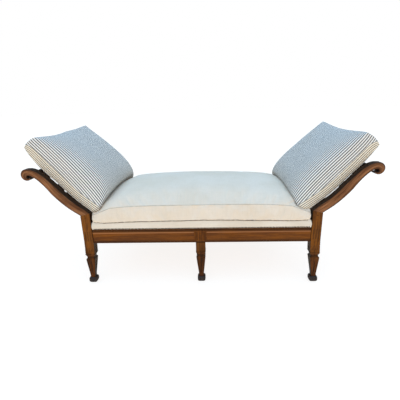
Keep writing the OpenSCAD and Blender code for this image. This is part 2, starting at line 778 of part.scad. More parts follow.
front_rail();
back_rail();
end_rail(-1);  // left_end_rail
end_rail(1);  // right_end_rail
cross_bearer();
corner_leg(-1, -1);  // front_left_leg
corner_leg(1, -1);  // front_right_leg
corner_leg(-1, 1);  // back_left_leg
corner_leg(1, 1);  // back_right_leg
middle_leg(-1);  // front_middle_leg
middle_leg(1);  // back_middle_leg
corner_foot(-1, -1);  // front_left_foot
corner_foot(1, -1);  // front_right_foot
corner_foot(-1, 1);  // back_left_foot
corner_foot(1, 1);  // back_right_foot
middle_foot(-1);  // front_middle_foot
middle_foot(1);  // back_middle_foot
foot_dowels();
arm(-1, -1);  // front_left_arm
arm(1, -1);  // front_right_arm
arm(-1, 1);  // back_left_arm
arm(1, 1);  // back_right_arm
arm_pegs();
slat(-1, 0);  // left_crest_slat
slat(-1, 1);  // left_upper_slat
slat(-1, 2);  // left_lower_slat
slat(1, 0);  // right_crest_slat
slat(1, 1);  // right_upper_slat
slat(1, 2);  // right_lower_slat
tablet(-1);  // front_tablet
tablet(1);  // back_tablet
corner_blocks();
corner_screws();
webbing_cross_straps();
webbing_long_straps();
hessian();
deck_pad();
deck_cover();
long_nails(-1);  // front_nails
long_nails(1);  // back_nails
end_nails(-1);  // left_end_nails
end_nails(1);  // right_end_nails
seat_cushion();
left_pillow();
right_pillow();
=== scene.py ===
# %% [markdown]
# # A recamier: walnut frame, linen seat, two pillows in ticking
# A recamier is a daybed with an arm rolled over at both ends. This lesson dresses its packed
# model: the wood gets its roundings, flutes and polish, the upholstery its weave and its sag.
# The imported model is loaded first, because every piece rides on one of its bodies.

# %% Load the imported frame
import math

import bpy
import numpy as np
from mathutils import Matrix, Vector, noise


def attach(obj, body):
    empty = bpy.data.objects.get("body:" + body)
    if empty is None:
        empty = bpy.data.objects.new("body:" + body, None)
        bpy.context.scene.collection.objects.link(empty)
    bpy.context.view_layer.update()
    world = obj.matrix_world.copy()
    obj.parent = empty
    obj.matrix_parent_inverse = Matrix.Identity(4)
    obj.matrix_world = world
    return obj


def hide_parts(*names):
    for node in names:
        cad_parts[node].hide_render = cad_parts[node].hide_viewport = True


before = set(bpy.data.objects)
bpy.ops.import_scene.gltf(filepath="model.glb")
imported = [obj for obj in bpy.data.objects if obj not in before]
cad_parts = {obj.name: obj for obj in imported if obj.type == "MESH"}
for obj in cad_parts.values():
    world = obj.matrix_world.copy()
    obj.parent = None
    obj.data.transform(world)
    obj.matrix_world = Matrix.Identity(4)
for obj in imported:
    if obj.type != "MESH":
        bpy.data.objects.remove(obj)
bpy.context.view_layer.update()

# %% [markdown]
# ## Where the picture is taken from
# The photograph is a close-up with a wide lens, a little from the right and above, so the near
# legs and pillows look larger. The camera stands where its edges meet, and is rolled slightly.

# %% Camera
camera_at = Vector((0.078, -2.018, 1.063))
yaw, pitch, roll = (math.radians(angle) for angle in (-2.561, 17.771, -1.66))
ahead = Vector((math.sin(yaw) * math.cos(pitch), math.cos(yaw) * math.cos(pitch), -math.sin(pitch)))
level = Vector((math.cos(yaw), -math.sin(yaw), 0))
upright = level.cross(ahead)
camera_right = level * math.cos(roll) + upright * math.sin(roll)
camera_up = upright * math.cos(roll) - level * math.sin(roll)
camera_data = bpy.data.cameras.new("picture_camera")
camera_data.lens, camera_data.sensor_width = 27.45, 36
camera = bpy.data.objects.new("picture_camera", camera_data)
camera.matrix_world = Matrix.Translation(camera_at) @ Matrix(
    (camera_right, camera_up, -ahead)).transposed().to_4x4()
bpy.context.scene.collection.objects.link(camera)
bpy.context.scene.camera = camera
print("camera looks along", tuple(round(c, 3) for c in ahead))

# %% [markdown]
# ## Shader sums as plain expressions
# A finish is mostly arithmetic on noise and waves. A Wire wraps a socket, so `1 - mask * 0.4`
# adds the Math nodes for it. A Finish holds one material and has one method for any other node.

# %% Wire and Finish
class Wire:
    """The output of a shader node, which can be used in sums."""

    def __init__(self, finish, socket):
        self.finish, self.socket = finish, socket

    def sum(self, operation, first, second):
        return self.finish.node("ShaderNodeMath", {"operation": operation}, {0: first, 1: second})

    def __add__(self, other): return self.sum("ADD", self, other)
    def __radd__(self, other): return self.sum("ADD", other, self)
    def __sub__(self, other): return self.sum("SUBTRACT", self, other)
    def __rsub__(self, other): return self.sum("SUBTRACT", other, self)
    def __mul__(self, other): return self.sum("MULTIPLY", self, other)
    def __rmul__(self, other): return self.sum("MULTIPLY", other, self)
    def __abs__(self): return self.sum("ABSOLUTE", self, 0.0)


class Finish:
    """One material, built node by node around one shader."""

    def __init__(self, name, **shader):
        self.material = bpy.data.materials.new(name)
        self.material.use_nodes = True
        self.nodes, self.links = self.material.node_tree.nodes, self.material.node_tree.links
        self.shader = self.nodes["Principled BSDF"]
        for socket, value in shader.items():
            self.shader.inputs[socket.replace("_", " ")].default_value = value

    def node(self, kind, settings=None, sockets=None, output=0):
        """Any node: its settings come first, then the values or links of its sockets."""
        made = self.nodes.new(kind)
        for name, value in (settings or {}).items():
            setattr(made, name, value)
        for name, value in (sockets or {}).items():
            if isinstance(value, Wire):
                self.links.new(value.socket, made.inputs[name])
            else:
                made.inputs[name].default_value = value
        return Wire(self, made.outputs[output])

    def feed(self, **wires):
        for socket, wire in wires.items():
            self.links.new(wire.socket, self.shader.inputs[socket.replace("_", " ")])

    def place(self):
        """Where a point lies on its piece, in metres."""
        return self.node("ShaderNodeTexCoord", output="Object")

    def stored(self, name, output="Fac"):
        """What the mesh keeps under that name for its points or corners."""
        return self.node("ShaderNodeAttribute", {"attribute_name": name}, output=output)

    def noise(self, place, scale, detail, rough=0.55, distortion=0.0):
        return self.node("ShaderNodeTexNoise", sockets={"Vector": place, "Scale": scale,
            "Detail": detail, "Roughness": rough, "Distortion": distortion})

    def sine(self, angle):
        return self.node("ShaderNodeMath", {"operation": "SINE"}, {0: angle})

    def clip(self, value, low, high):
        """0 up to low, 1 from high on, and a smooth step in between."""
        return self.node("ShaderNodeMapRange", {"interpolation_type": "SMOOTHSTEP"},
            {"Value": value, "From Min": low, "From Max": high})

    def blend(self, mask, first, second, way="MIX"):
        return self.node("ShaderNodeMix", {"data_type": "RGBA", "blend_type": way},
            {0: mask, 6: first, 7: second}, output=2)

    def parts(self, vector):
        split = self.node("ShaderNodeSeparateXYZ", sockets={"Vector": vector})
        return [Wire(self, split.socket.node.outputs[axis]) for axis in "XYZ"]

    def bump(self, height, depth, strength):
        return self.node("ShaderNodeBump", sockets={"Height": height, "Distance": depth,
            "Strength": strength})


def rgb(red, green, blue):
    """A colour given as on a screen, in the linear light that a shader works in."""
    return tuple(round((c / 255) ** 2.2, 4) for c in (red, green, blue)) + (1.0,)


print("a screen's middle grey is", rgb(128, 128, 128)[0], "in linear light")

# %% [markdown]
# ## Light and floor
# The white surfaces of the photograph are cool on top and warm in front, as under an open sky over
# a sunlit ground. So a very wide cool sun stands above and behind, and a warm one low in front.
# Suns light the plain pale floor evenly. The floor that the camera sees is nearly white, and a
# bounce sheet under it, which only lights the piece, throws the warm light up. Round it all
# stands a dome of white paper, which only the camera sees.

# %% Lights
def wide_sun(name, comes_from, strength, spread, colour):
    light = bpy.data.lights.new(name, "SUN")
    light.energy, light.angle, light.color = strength, math.radians(spread), colour
    holder = bpy.data.objects.new(name, light)
    holder.rotation_euler = (-Vector(comes_from)).to_track_quat("-Z", "Y").to_euler()
    bpy.context.scene.collection.objects.link(holder)


wide_sun("cool_sky", (0.0, -0.1, 1.0), 2.6, 110, (0.29, 0.6, 1.0))
wide_sun("warm_ground_light", (0.1, -1.0, 0.08), 1.22, 80, (1.0, 0.7, 0.47))
bpy.context.scene.view_settings.view_transform = "Standard"
surroundings = bpy.data.worlds.new("surroundings")
surroundings.use_nodes = True
bpy.context.scene.world = surroundings
backdrop = surroundings.node_tree.nodes["Background"].inputs
backdrop["Color"].default_value, backdrop["Strength"].default_value = (0.84, 0.92, 1, 1), 0.45

# %% Floor, bounce sheet and paper dome
FLOOR_HALF, BOUNCE_Z, WHITE = 40, -0.002, (1.0, 1.0, 1.0, 1.0)
PAPER_R, PAPER_FOOT, PAPER_TURNS, PAPER_RINGS = 39, 0.5, 32, 9


def stage_sheet(name, points, faces, finish, hidden_from):
    """A sheet of the studio, which is left out by the kinds of ray that are listed."""
    mesh = bpy.data.meshes.new(name)
    mesh.from_pydata(points, [], faces)
    mesh.materials.append(finish.material)
    sheet = bpy.data.objects.new(name, mesh)
    bpy.context.scene.collection.objects.link(sheet)
    for kind in hidden_from:
        setattr(sheet, "visible_" + kind, False)


def square(half, z):
    return [(-half, -half, z), (half, -half, z), (half, half, z), (-half, half, z)], [(0, 1, 2, 3)]


def loft(rings, closed_below=True):
    """Faces between rings of as many points each, with a cap on the last and the first ring."""
    count = len(rings[0])
    points = [p for ring in rings for p in ring]
    faces = [(a * count + i, a * count + (i + 1) % count, (a + 1) * count + (i + 1) % count,
        (a + 1) * count + i) for a in range(len(rings) - 1) for i in range(count)]
    if closed_below:
        faces.append(tuple(range(count))[::-1])
    faces.append(tuple(range((len(rings) - 1) * count, len(rings) * count)))
    return points, faces


def paper_ring(rise):
    turns = [2 * math.pi * t / PAPER_TURNS for t in range(PAPER_TURNS)]
    return [(PAPER_R * math.cos(turn) * math.cos(rise), PAPER_R * math.sin(turn) * math.cos(rise),
        PAPER_R * math.sin(rise) - PAPER_FOOT) for turn in turns]


floor_finish = Finish("pale_floor", Roughness=0.9, Specular_IOR_Level=0.0, Emission_Strength=0.84,
    Emission_Color=WHITE)
floor_patches = floor_finish.noise(floor_finish.place(), 1.5, 2.0)
floor_finish.feed(Base_Color=floor_finish.blend(floor_patches, rgb(148, 136, 124), rgb(152, 140, 128)))
bounce_finish = Finish("warm_bounce", Roughness=0.8, Specular_IOR_Level=0.1, Emission_Strength=0.45,
    Emission_Color=(1.0, 0.84, 0.64, 1.0), Base_Color=rgb(232, 221, 208))
paper_finish = Finish("white_paper", Base_Color=(0.0, 0.0, 0.0, 1.0), Specular_IOR_Level=0.0,
    Emission_Strength=1.0, Emission_Color=WHITE)
stage_sheet("floor", *square(FLOOR_HALF, 0), floor_finish, ("diffuse", "glossy", "shadow"))
stage_sheet("bounce_sheet", *square(FLOOR_HALF, BOUNCE_Z), bounce_finish, ("camera",))
paper = loft([paper_ring(ring * math.pi / 17) for ring in range(PAPER_RINGS)], closed_below=False)
stage_sheet("paper_dome", *paper, paper_finish, ("diffuse", "glossy", "transmission", "shadow"))
print("the paper dome has", len(paper[1]), "faces and is", PAPER_R, "m in radius")

# %% [markdown]
# ## Old polished walnut
# Walnut has long brown bands, fine streaks and short dark pores, all drawn out along the grain.
# So the same noise is stretched along one direction of each piece. Faces turned away from the front
# and back are painted darker, a painted shade: on legs, arms and slats mostly the faces towards
# the middle of the piece. The arms are painted darker on their rims and in the scroll's curl, a
# painted shade, and the legs are darker in their flutes and round the neck. A rail has painted
# shade under its nails and along its lower edge, with a painted highlight on an edge between. The
# polish is uneven.

# %% Painted shade and highlights on wood
NAIL_SHADE, LIT_EDGE, LOW_SHADE = (0.3375, 0.341), (0.3305, 0.333), (0.272, 0.296)


def painted_rail_shade(wood, colour, height):
    """Painted shade and a painted highlight on a rail, each between two heights in metres."""
    under_nails = wood.clip(height, *NAIL_SHADE)
    lit_edge = wood.clip(height, *LIT_EDGE) * (1 - under_nails)
    shade = under_nails * 0.54 + (1 - wood.clip(height, *LOW_SHADE)) * 0.7
    colour = wood.blend(0.45, colour, rgb(104, 59, 27))
    colour = wood.blend(lit_edge * 0.55, colour, rgb(176, 116, 74))
    return wood.blend(shade, colour, rgb(50, 31, 18))


def painted_side_shade(wood, inner_shade_and_marks):
    """Painted shade: 1 on faces turned away from the front and back, and on legs, arms and slats less on
    those that face outwards.
    """
    sideways, facing = wood.parts(wood.node("ShaderNodeTexCoord", output="Normal"))[:2]
    turned_away = 1 - wood.clip(abs(facing), 0.55, 0.98)
    if not inner_shade_and_marks:
        return turned_away
    # On legs, arms and slats the painted shade falls mostly on faces towards the middle of the piece.
    inwards = wood.clip(sideways * wood.parts(wood.place())[0] * -1, 0.0, 0.2)
    return turned_away * (0.3 + inwards * 0.7)


print("shade under the nails starts at", NAIL_SHADE[0], "m")

# %% Wood finish
GRAIN = {"x": (1.0, 13.0, 13.0), "y": (13.0, 1.0, 13.0), "z": (13.0, 13.0, 1.0), "path": (1.0, 13.0, 13.0)}
WARM_GLOSS = (1.0, 0.8, 0.58, 1.0)


def wood_finish(name, grain, pale, deep, side_shade=0.45, polish=0.42, darkens_below=None,
        inner_shade_and_marks=False, rail_shaded=False):
    wood = Finish(name, Specular_IOR_Level=0.16, Coat_Roughness=0.35, Specular_Tint=WARM_GLOSS)
    place = wood.stored("path", "Vector") if grain == "path" else wood.place()
    drawn = wood.node("ShaderNodeMapping", sockets={"Vector": place, "Scale": GRAIN[grain]})
    bands = wood.noise(drawn, 1.7, 3.0, 0.5, 0.9)
    streaks = wood.noise(drawn, 9.0, 4.0, 0.65, 0.3)
    pores = wood.clip(wood.noise(drawn, 42.0, 2.0, 0.5), 0.56, 0.72)
    patches = wood.noise(place, 5.0, 3.0, 0.6)
    figure = wood.clip(bands * 0.45 + streaks * 0.55, 0.36, 0.64)
    colour = wood.blend(figure, deep, pale)
    colour = wood.blend(pores * 0.55, colour, tuple(c * 0.35 for c in deep[:3]) + (1.0,))
    colour = wood.blend(wood.clip(patches, 0.35, 0.75) * 0.4, colour, rgb(66, 36, 15))
    if darkens_below:
        above = wood.clip(wood.parts(place)[2] + patches * 0.04, darkens_below, darkens_below + 0.07)
        colour = wood.blend(above, wood.blend(1.0, colour, (0.5, 0.44, 0.4, 1.0), "MULTIPLY"), colour)
    # A rail gets painted shade under its nails and along its lower edge, and a painted highlight between.
    if rail_shaded:
        colour = painted_rail_shade(wood, colour, wood.parts(place)[2])
    if inner_shade_and_marks:
        # Darker on the stored marks: painted shade on the arms' rims and in the scroll's curl, and darker
        # flutes and neck on the legs.
        colour = wood.blend(wood.stored("shade_and_darkening") * 0.8, colour, rgb(30, 17, 10))
    # Painted shade: faces turned away from the front and back get a darker copy of the colour.
    side_shaded = wood.blend(1.0, colour, (1 - side_shade, 1 - side_shade, 1 - side_shade, 1.0), "MULTIPLY")
    wood.feed(Base_Color=wood.blend(painted_side_shade(wood, inner_shade_and_marks), colour, side_shaded),
        Roughness=polish + patches * 0.16 + pores * 0.2 - figure * 0.05,
        Coat_Weight=wood.clip(patches, 0.3, 0.6) * 0.07,
        Normal=wood.bump(streaks * 0.6 - pores, 0.0006, 0.5))
    return wood.material


pale_walnut, deep_walnut = rgb(148, 84, 22), rgb(78, 40, 8)
tablet_wood = wood_finish("walnut_z", "z", pale_walnut, deep_walnut)
rail_wood = {axis: wood_finish("rail_walnut_" + axis, axis, pale_walnut, deep_walnut, rail_shaded=True)
    for axis in "xy"}
arm_wood = wood_finish("walnut_arm", "path", rgb(170, 114, 74), rgb(90, 53, 30), side_shade=0.8, inner_shade_and_marks=True)
slat_wood = wood_finish("shaded_walnut", "y", rgb(112, 66, 24), rgb(62, 35, 12), side_shade=0.8, inner_shade_and_marks=True)
leg_wood = wood_finish("walnut_leg", "z", rgb(136, 79, 24), rgb(58, 31, 8),
    side_shade=0.85, darkens_below=0.19, inner_shade_and_marks=True)
bare_wood = wood_finish("bare_beech", "y", rgb(196, 158, 112), rgb(160, 120, 80), side_shade=0.1, polish=0.6)
print("wood finishes:", [m.name for m in bpy.data.materials if "wal" in m.name or "beech" in m.name])

# %% [markdown]
# ## Carved feet, old metal
# The block feet are cut across the grain, and are nearly black from floors and wax, with paler
# scuffs. The nails are antiqued steel, the screws in the blocks dull brass.

# %% Foot and metal finishes
def foot_finish():
    wood = Finish("blackened_foot", Specular_IOR_Level=0.4)
    place = wood.place()
    speckle = wood.noise(place, 260.0, 3.0, 0.7)
    patches = wood.noise(place, 45.0, 3.0, 0.6)
    colour = wood.blend(wood.clip(patches, 0.35, 0.7), rgb(26, 18, 14), rgb(54, 41, 33))
    colour = wood.blend(wood.clip(speckle, 0.55, 0.72) * 0.6, colour, rgb(112, 94, 82))
    wood.feed(Base_Color=colour, Roughness=0.5 + patches * 0.25,
        Normal=wood.bump(speckle * 0.5 + patches, 0.0012, 0.6))
    return wood.material


def metal_finish(name, bright, tarnished, gloss):
    metal = Finish(name)
    spots = metal.clip(metal.noise(metal.place(), 90.0, 3.0, 0.6), 0.4, 0.62)
    metal.feed(Base_Color=metal.blend(spots, tarnished, bright), Metallic=0.45 + spots * 0.4,
        Roughness=gloss + (1 - spots) * 0.25)
    return metal.material


blackened = foot_finish()
antique_nail = metal_finish("antique_nail", rgb(70, 54, 38), rgb(22, 15, 10), 0.42)
dull_brass = metal_finish("dull_brass", rgb(150, 126, 84), rgb(84, 66, 42), 0.38)
print("foot and metal:", blackened.name, antique_nail.name, dull_brass.name)

# %% [markdown]
# ## Linen
# The band and the seat are a cream linen with slubs, threads that are thicker for a few
# centimetres and catch more or less light, in both directions of the weave. The weave itself is
# finer than the picture resolves, so it is a fine bump. The seat's cloth has a painted shadow just
# above its low seam, where it creases over the band, and the jute under it is a coarser, yellower
# cloth of this kind.

# %% Woven cloth finishes
THREAD = 0.0016


def weave_height(cloth, across, along):
    turn = 2 * math.pi / THREAD
    return cloth.sine(across * turn) * cloth.sine(along * turn)


def linen_finish(name, pale, shade, slub=0.5, on_seat=False):
    linen = Finish(name, Roughness=0.85, Specular_IOR_Level=0.25, Sheen_Weight=0.15,
        Sheen_Roughness=0.5)
    spot = linen.stored("cut", "Vector") if on_seat else linen.place()
    across, along = linen.parts(spot)[:2]

    def thick_threads(drawn):
        """Where the threads of one direction are thick: noise drawn out along them."""
        stretched = linen.node("ShaderNodeMapping", sockets={"Vector": spot, "Scale": drawn})
        return linen.clip(linen.noise(stretched, 240.0, 2.0, 0.6), 0.5, 0.78)

    slubs = thick_threads((1.0, 0.05, 1.0)) + thick_threads((0.05, 1.0, 0.4))
    colour = linen.blend(linen.clip(linen.noise(spot, 4.0, 3.0, 0.6), 0.3, 0.7), shade, pale)
    colour = linen.blend(slubs * slub * 0.3, colour, rgb(196, 178, 148))
    if on_seat:
        # Painted shadow just above the low seam, where the cushion creases over the band.
        colour = linen.blend(linen.stored("crease"), colour, rgb(78, 60, 42))
    linen.feed(Base_Color=colour, Normal=linen.bump(
        weave_height(linen, across, along) * 0.5 + slubs, 0.0005, 0.55))
    return linen.material


seat_linen = linen_finish("seat_linen", rgb(242, 224, 200), rgb(235, 215, 188), on_seat=True)
# The seams' cloth is painted darker than the seat's: painted shade in the top seam's fold, and a dark
# painted shadow along the low seam.
shaded_top_seam_linen = linen_finish("shaded_top_seam_linen", rgb(196, 182, 160), rgb(184, 168, 144))
low_seam_shadow_linen = linen_finish("low_seam_shadow_linen", rgb(96, 76, 56), rgb(78, 60, 44))
band_linen = linen_finish("band_linen", rgb(237, 222, 200), rgb(227, 210, 186))
jute_web = linen_finish("jute_web", rgb(196, 164, 116), rgb(150, 116, 74), 1.0)
jute_cloth = linen_finish("jute_cloth", rgb(172, 142, 96), rgb(132, 104, 66), 1.0)
print("threads to the metre:", round(1 / THREAD))

# %% [markdown]
# ## Ticking
# The pillows are in a close striped ticking. On the faces the stripes run up the slope; the strip
# round the side is cut with finer, browner lines along its length. The lower edge is gathered,
# and a brown painted shade in the puckers stands for that. The stripes are worked out on the flat
# cut, so they follow the cloth over its crown.

# %% Ticking finish
STRIPE, SIDE_STRIPE, RIB = 0.0124, 0.0115, 0.0032


def ticking_finish():
    tick = Finish("ticking", Roughness=0.82, Specular_IOR_Level=0.25, Sheen_Weight=0.12,
        Sheen_Roughness=0.5)
    spot = tick.stored("cut", "Vector")
    along, across, boxing = tick.parts(spot)
    wander = (tick.noise(spot, 30.0, 2.0) - 0.5) * 0.0012

    def stripes(pitch, share, moved=0.0):
        wave = tick.sine((across + wander + moved * pitch) * (2 * math.pi / pitch))
        edge = math.cos(math.pi * share)
        return tick.clip(wave, edge - 0.25, edge + 0.25)

    ribs = tick.sine(along * (2 * math.pi / RIB)) * 0.5 + 0.5
    ground = tick.blend(tick.noise(spot, 6.0, 2.0), rgb(238, 231, 217), rgb(247, 240, 227))
    face = tick.blend(stripes(STRIPE, 0.41) * 0.92, ground, rgb(44, 41, 44))
    side_ground = tick.blend(tick.noise(spot, 9.0, 2.0), rgb(245, 228, 200), rgb(250, 237, 211))
    side = tick.blend(stripes(SIDE_STRIPE, 0.35, 0.12) * 0.94, side_ground, rgb(66, 50, 40))
    puckers = tick.clip(tick.noise(spot, 85.0, 2.0), 0.42, 0.6)
    # Painted shade along the gathered lower edge, broken up by the puckers.
    pucker_shade = tick.stored("gathered") * (0.3 + puckers * 0.4)
    tick.feed(Base_Color=tick.blend(pucker_shade, tick.blend(boxing, face, side), rgb(92, 70, 50)),
        Normal=tick.bump(weave_height(tick, across, along) * 0.4 + ribs * 0.25, 0.0005, 0.5))
    return tick.material


ticking = ticking_finish()
seam_ticking = linen_finish("seam_ticking", rgb(206, 198, 184), rgb(190, 180, 164))
print("stripes to the half metre:", round(0.5 / STRIPE))

# %% [markdown]
# ## Making a piece
# Every new piece is a mesh from points and faces in the frame's own metres. It gets a finish,
# smooth shading that stops at sharp edges and a body to ride on, and the nodes that it stands for
# are hidden.

# %% Piece helpers
MM = 0.001
SIDES, ROWS = ((-1, "left"), (1, "right")), ((-1, "front"), (1, "back"))


def make_piece(name, points, faces, material, body, stands_for, slot, sharp=38):
    mesh = bpy.data.meshes.new(name)
    mesh.from_pydata([tuple(p) for p in points], [], [tuple(int(i) for i in f) for f in faces])
    mesh.materials.append(material)
    mesh.update()
    mesh.shade_smooth()
    mesh.set_sharp_from_angle(angle=math.radians(sharp))
    piece = bpy.data.objects.new(name, mesh)
    bpy.context.scene.collection.objects.link(piece)
    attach(piece, body)
    if stands_for:
        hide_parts(*stands_for)
    return piece


def store(piece, name, values, domain="POINT"):
    """Keeps a number or a vector for every point or corner of the mesh."""
    values = np.asarray(values, np.float32)
    kind, key = ("FLOAT_VECTOR", "vector") if values.ndim == 2 else ("FLOAT", "value")
    piece.data.attributes.new(name, kind, domain).data.foreach_set(key, values.ravel())


def mirrored(points, faces, side, row):
    """A right-hand back piece at any corner: side is -1 or 1, row is -1 or 1."""
    moved = [(p[0] * side, p[1] * row, p[2]) for p in points]
    return moved, (faces if side * row > 0 else [f[::-1] for f in faces])


def scaled(rings):
    return [[(x * MM, y * MM, z * MM) for x, y, z in ring] for ring in rings]


print("helpers ready for", len(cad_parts), "nodes")

# %% [markdown]
# ## Legs
# Each leg is one square piece of walnut: a post, a necked collar with a bead over it, and a
# tapered lower leg with a flute in each face. A loft of rounded squares gives all of these from
# one list of heights and half widths, and a flute is only a dent in the sides of some rings.

# %% Leg rings
SIDE_PLACES, EDGE = np.linspace(-1, 1, 19), 2
CORNER_TURNS = [math.radians(a) for a in (22.5, 45, 67.5)]


def flute(s, count):
    """How deep the flutes of a face are at s, from -1 to 1 across it."""
    reach = 0.3 if count == 1 else 0.8
    waves = 0.5 if count == 1 else count / 2
    return math.cos(math.pi * waves * s / reach) ** 2 if abs(s) < reach and count else 0.0


def four_sides(side, flat, edge):
    """A ring from the points of one side and a rounded corner, turned to all four sides."""
    side = side + [(flat + edge * math.cos(a), flat + edge * math.sin(a)) for a in CORNER_TURNS]
    return [(x * c - y * s, x * s + y * c) for c, s in ((1, 0), (0, 1), (-1, 0), (0, -1)) for x, y in side]


def square_ring(half, edge, depth, count):
    """A rounded square about the origin, with flutes of that depth in every side."""
    flat = half - edge
    return four_sides([(half - depth * flute(s, count), s * flat) for s in SIDE_PLACES], flat, edge)


print("points in a ring:", len(square_ring(28, EDGE, 0, 0)))

# %% Leg profile
POST_X, POST_Y, POST_HALF, RAIL_BOTTOM, RAIL_TOP = 671.5, 346.5, 28.5, 270, 367
ELBOW_Z, MITRE = 454.5, math.radians(16)
LEG_SPLAY, LEG_RAKE, FOOT_H, COLLAR_Z = 11, 8, 37, 165
ANKLE_HALF, BLOCK_HALF, NECK_HALF = 15, 27.5, 21.5


def lower_leg(lift, half):
    """Heights, half widths, roundings and flutes, from the foot to above the collar."""
    start, top = FOOT_H + 16, COLLAR_Z + lift
    end, bead = top - 3, top + 30
    rows = [(FOOT_H + up, ANKLE_HALF, EDGE, 0, 0) for up in (0, 2, 16)]
    for i in range(1, 25):
        z = start + (end - start) * i / 24
        fade = min(1, max(0, (z - start - 6) / 10), max(0, (end - 12 - z) / 8))
        rows.append((z, ANKLE_HALF + (BLOCK_HALF - 0.1 - ANKLE_HALF) * i / 24, 2.2, 3.4 * fade, 1))
    rows += [(top - 1, BLOCK_HALF, EDGE, 0, 0), (top + 1, BLOCK_HALF - 0.8, EDGE, 0, 0)]
    rows += [(top + up, NECK_HALF + more, EDGE, 0, 0)
        for up, more in ((8, 0.2), (9, 0), (14, 0), (15, 0.2), (20, 2.6))]
    rows += [(z, half - 0.6, EDGE, 0, 0) for z in (top + 29, bead)]
    for a in (-75, -45, -15, 15, 45, 75):
        rows.append((bead + 2.6 + 2.6 * math.sin(math.radians(a)),
            half - 0.6 + 1.9 * math.cos(math.radians(a)), 2.4, 0, 0))
    return rows + [(bead + up, half - less, EDGE, 0, 0) for up, less in ((5.4, 0.9), (7, 0.9), (8, 0))]


def post(half):
    """The band of short reeds under the rail, and the three flutes beside it, up to the elbow."""
    rows = []
    for low, high, depth in ((212, 236, 1.6), (284, 350, 1.9)):
        cut = ((low - 2, 0), (low, 0), (low + 2, 0.7), (low + 5, 1), ((low + high) / 2, 1),
            (high - 5, 1), (high - 2, 0.7), (high, 0))
        rows += [(z, half, EDGE, depth * share, 3) for z, share in cut]
        if low < RAIL_BOTTOM:
            rows += [(high + up, half - less, EDGE, 0, 0) for up, less in ((4, 0), (5, 1), (7, 1), (8, 0))]
    return rows


def leaning(rows, centre, splay, rake):
    rings = []
    for z, half, edge, depth, count in rows:
        lean = max(0, 1 - z / RAIL_BOTTOM)
        rings.append([(centre[0] + splay * lean + x, centre[1] + rake * lean + y, z)
            for x, y in square_ring(half, edge, depth, count)])
    return rings


def darkening_of(rows):
    """How much darker each point of the rings is painted: in the flutes and round the neck."""
    held = []
    for z, half, edge, depth, count in rows:
        neck = 0.6 if half < NECK_HALF + 1 and z > COLLAR_Z - 15 else 0.0
        side = [max(neck, (0.16 if count == 1 else 0.3) * depth * flute(s, count)) for s in SIDE_PLACES]
        held += (side + [max(neck, 0.5)] * len(CORNER_TURNS)) * 4
    return held


print("the collar starts", COLLAR_Z, "mm up")

# %% Corner and middle legs
MIDDLE_Y, MIDDLE_HALF = 346, 28
corner_rows = lower_leg(0, POST_HALF) + post(POST_HALF)
corner_rows += [(z, POST_HALF, EDGE, 0, 0) for z in (380, 400, 420)]
corner_rings = leaning(corner_rows, (POST_X, POST_Y), LEG_SPLAY, LEG_RAKE)
corner_rings.append([(x, y, ELBOW_Z - 0.4 - (x - POST_X) * math.tan(MITRE)) for x, y, z in corner_rings[-1]])
corner_darkening = darkening_of(corner_rows) + [0.0] * len(corner_rings[0])
middle_rows = lower_leg(9, MIDDLE_HALF) + [(z, MIDDLE_HALF, EDGE, 0, 0) for z in (240, RAIL_BOTTOM - 0.2)]
middle_rings = leaning(middle_rows, (0, MIDDLE_Y), 0, 0)
for places, rings, shade_and_darkening in ((SIDES, corner_rings, corner_darkening),
        (((1, "middle"),), middle_rings, darkening_of(middle_rows))):
    leg_points, leg_faces = loft(scaled(rings))
    for side, side_name in places:
        for row, row_name in ROWS:
            node = f"{row_name}_{side_name}_leg"
            leg = make_piece("fluted_" + node, *mirrored(leg_points, leg_faces, side, row), leg_wood,
                "frame", [node], "polished_wood")
            store(leg, "shade_and_darkening", shade_and_darkening)
    print("a leg has", len(leg_faces), "faces")

# %% [markdown]
# ## Feet
# A foot is a block with its underside rounded off and two grooves cut in each side, which leave
# three toes. The same rings as for the legs do it, with narrow deep dents for the grooves.

# %% Feet
FOOT_HALF, FOOT_ROUND, SIDE_BULGE = 24.5, 15, 1.2


def toe_ring(half, edge, depth):
    """A bulging square with two grooves of that depth in every side."""
    flat, side = half - edge, []
    for s in SIDE_PLACES:
        groove = max(0, 1 - abs(abs(s) - 0.38) / 0.17)
        side.append((half - depth * groove - SIDE_BULGE * s * s, s * flat))
    return four_sides(side, flat, edge - SIDE_BULGE)


foot_rows = [(FOOT_ROUND * (1 - math.cos(math.radians(a))),
    FOOT_HALF - FOOT_ROUND + FOOT_ROUND * math.sin(math.radians(a)), 5, 2.8 * math.sin(math.radians(a)))
    for a in range(0, 91, 10)]
foot_rows += [(z, FOOT_HALF + more, 5, depth) for z, more, depth in ((20, 0.1, 3.2), (26, 0, 3.2),
    (30, -0.5, 3), (33, -1.5, 2.6), (35.4, -3.5, 2), (36.6, -6, 1), (37, -8, 0.2))]
foot_points, foot_faces = loft(scaled([[(x, y, z) for x, y in toe_ring(half, edge, depth)]
    for z, half, edge, depth in foot_rows]))
foot_lean = 1 - FOOT_H / RAIL_BOTTOM
foot_x, foot_y = POST_X + LEG_SPLAY * foot_lean, POST_Y + LEG_RAKE * foot_lean
foot_places = {"left": (-foot_x, foot_y), "middle": (0, MIDDLE_Y), "right": (foot_x, foot_y)}
for place_name, (foot_x, foot_y) in foot_places.items():
    for row, row_name in ROWS:
        node = f"{row_name}_{place_name}_foot"
        set_down = [(x + foot_x * MM, y + foot_y * row * MM, z) for x, y, z in foot_points]
        make_piece("toed_" + node, set_down, foot_faces, blackened, "frame", [node], "dark_wood", sharp=50)
print("feet stand at x =", [round(x) for x, y in foot_places.values()])

# %% [markdown]
# ## Arms
# An arm is bent out of one thick strip, which rolls over at its end and curls under, leaving a
# small dark eye. So it is a sweep: a rounded section carried along two joined curves, and then
# round the scroll between an outer circle and the circle of the eye.

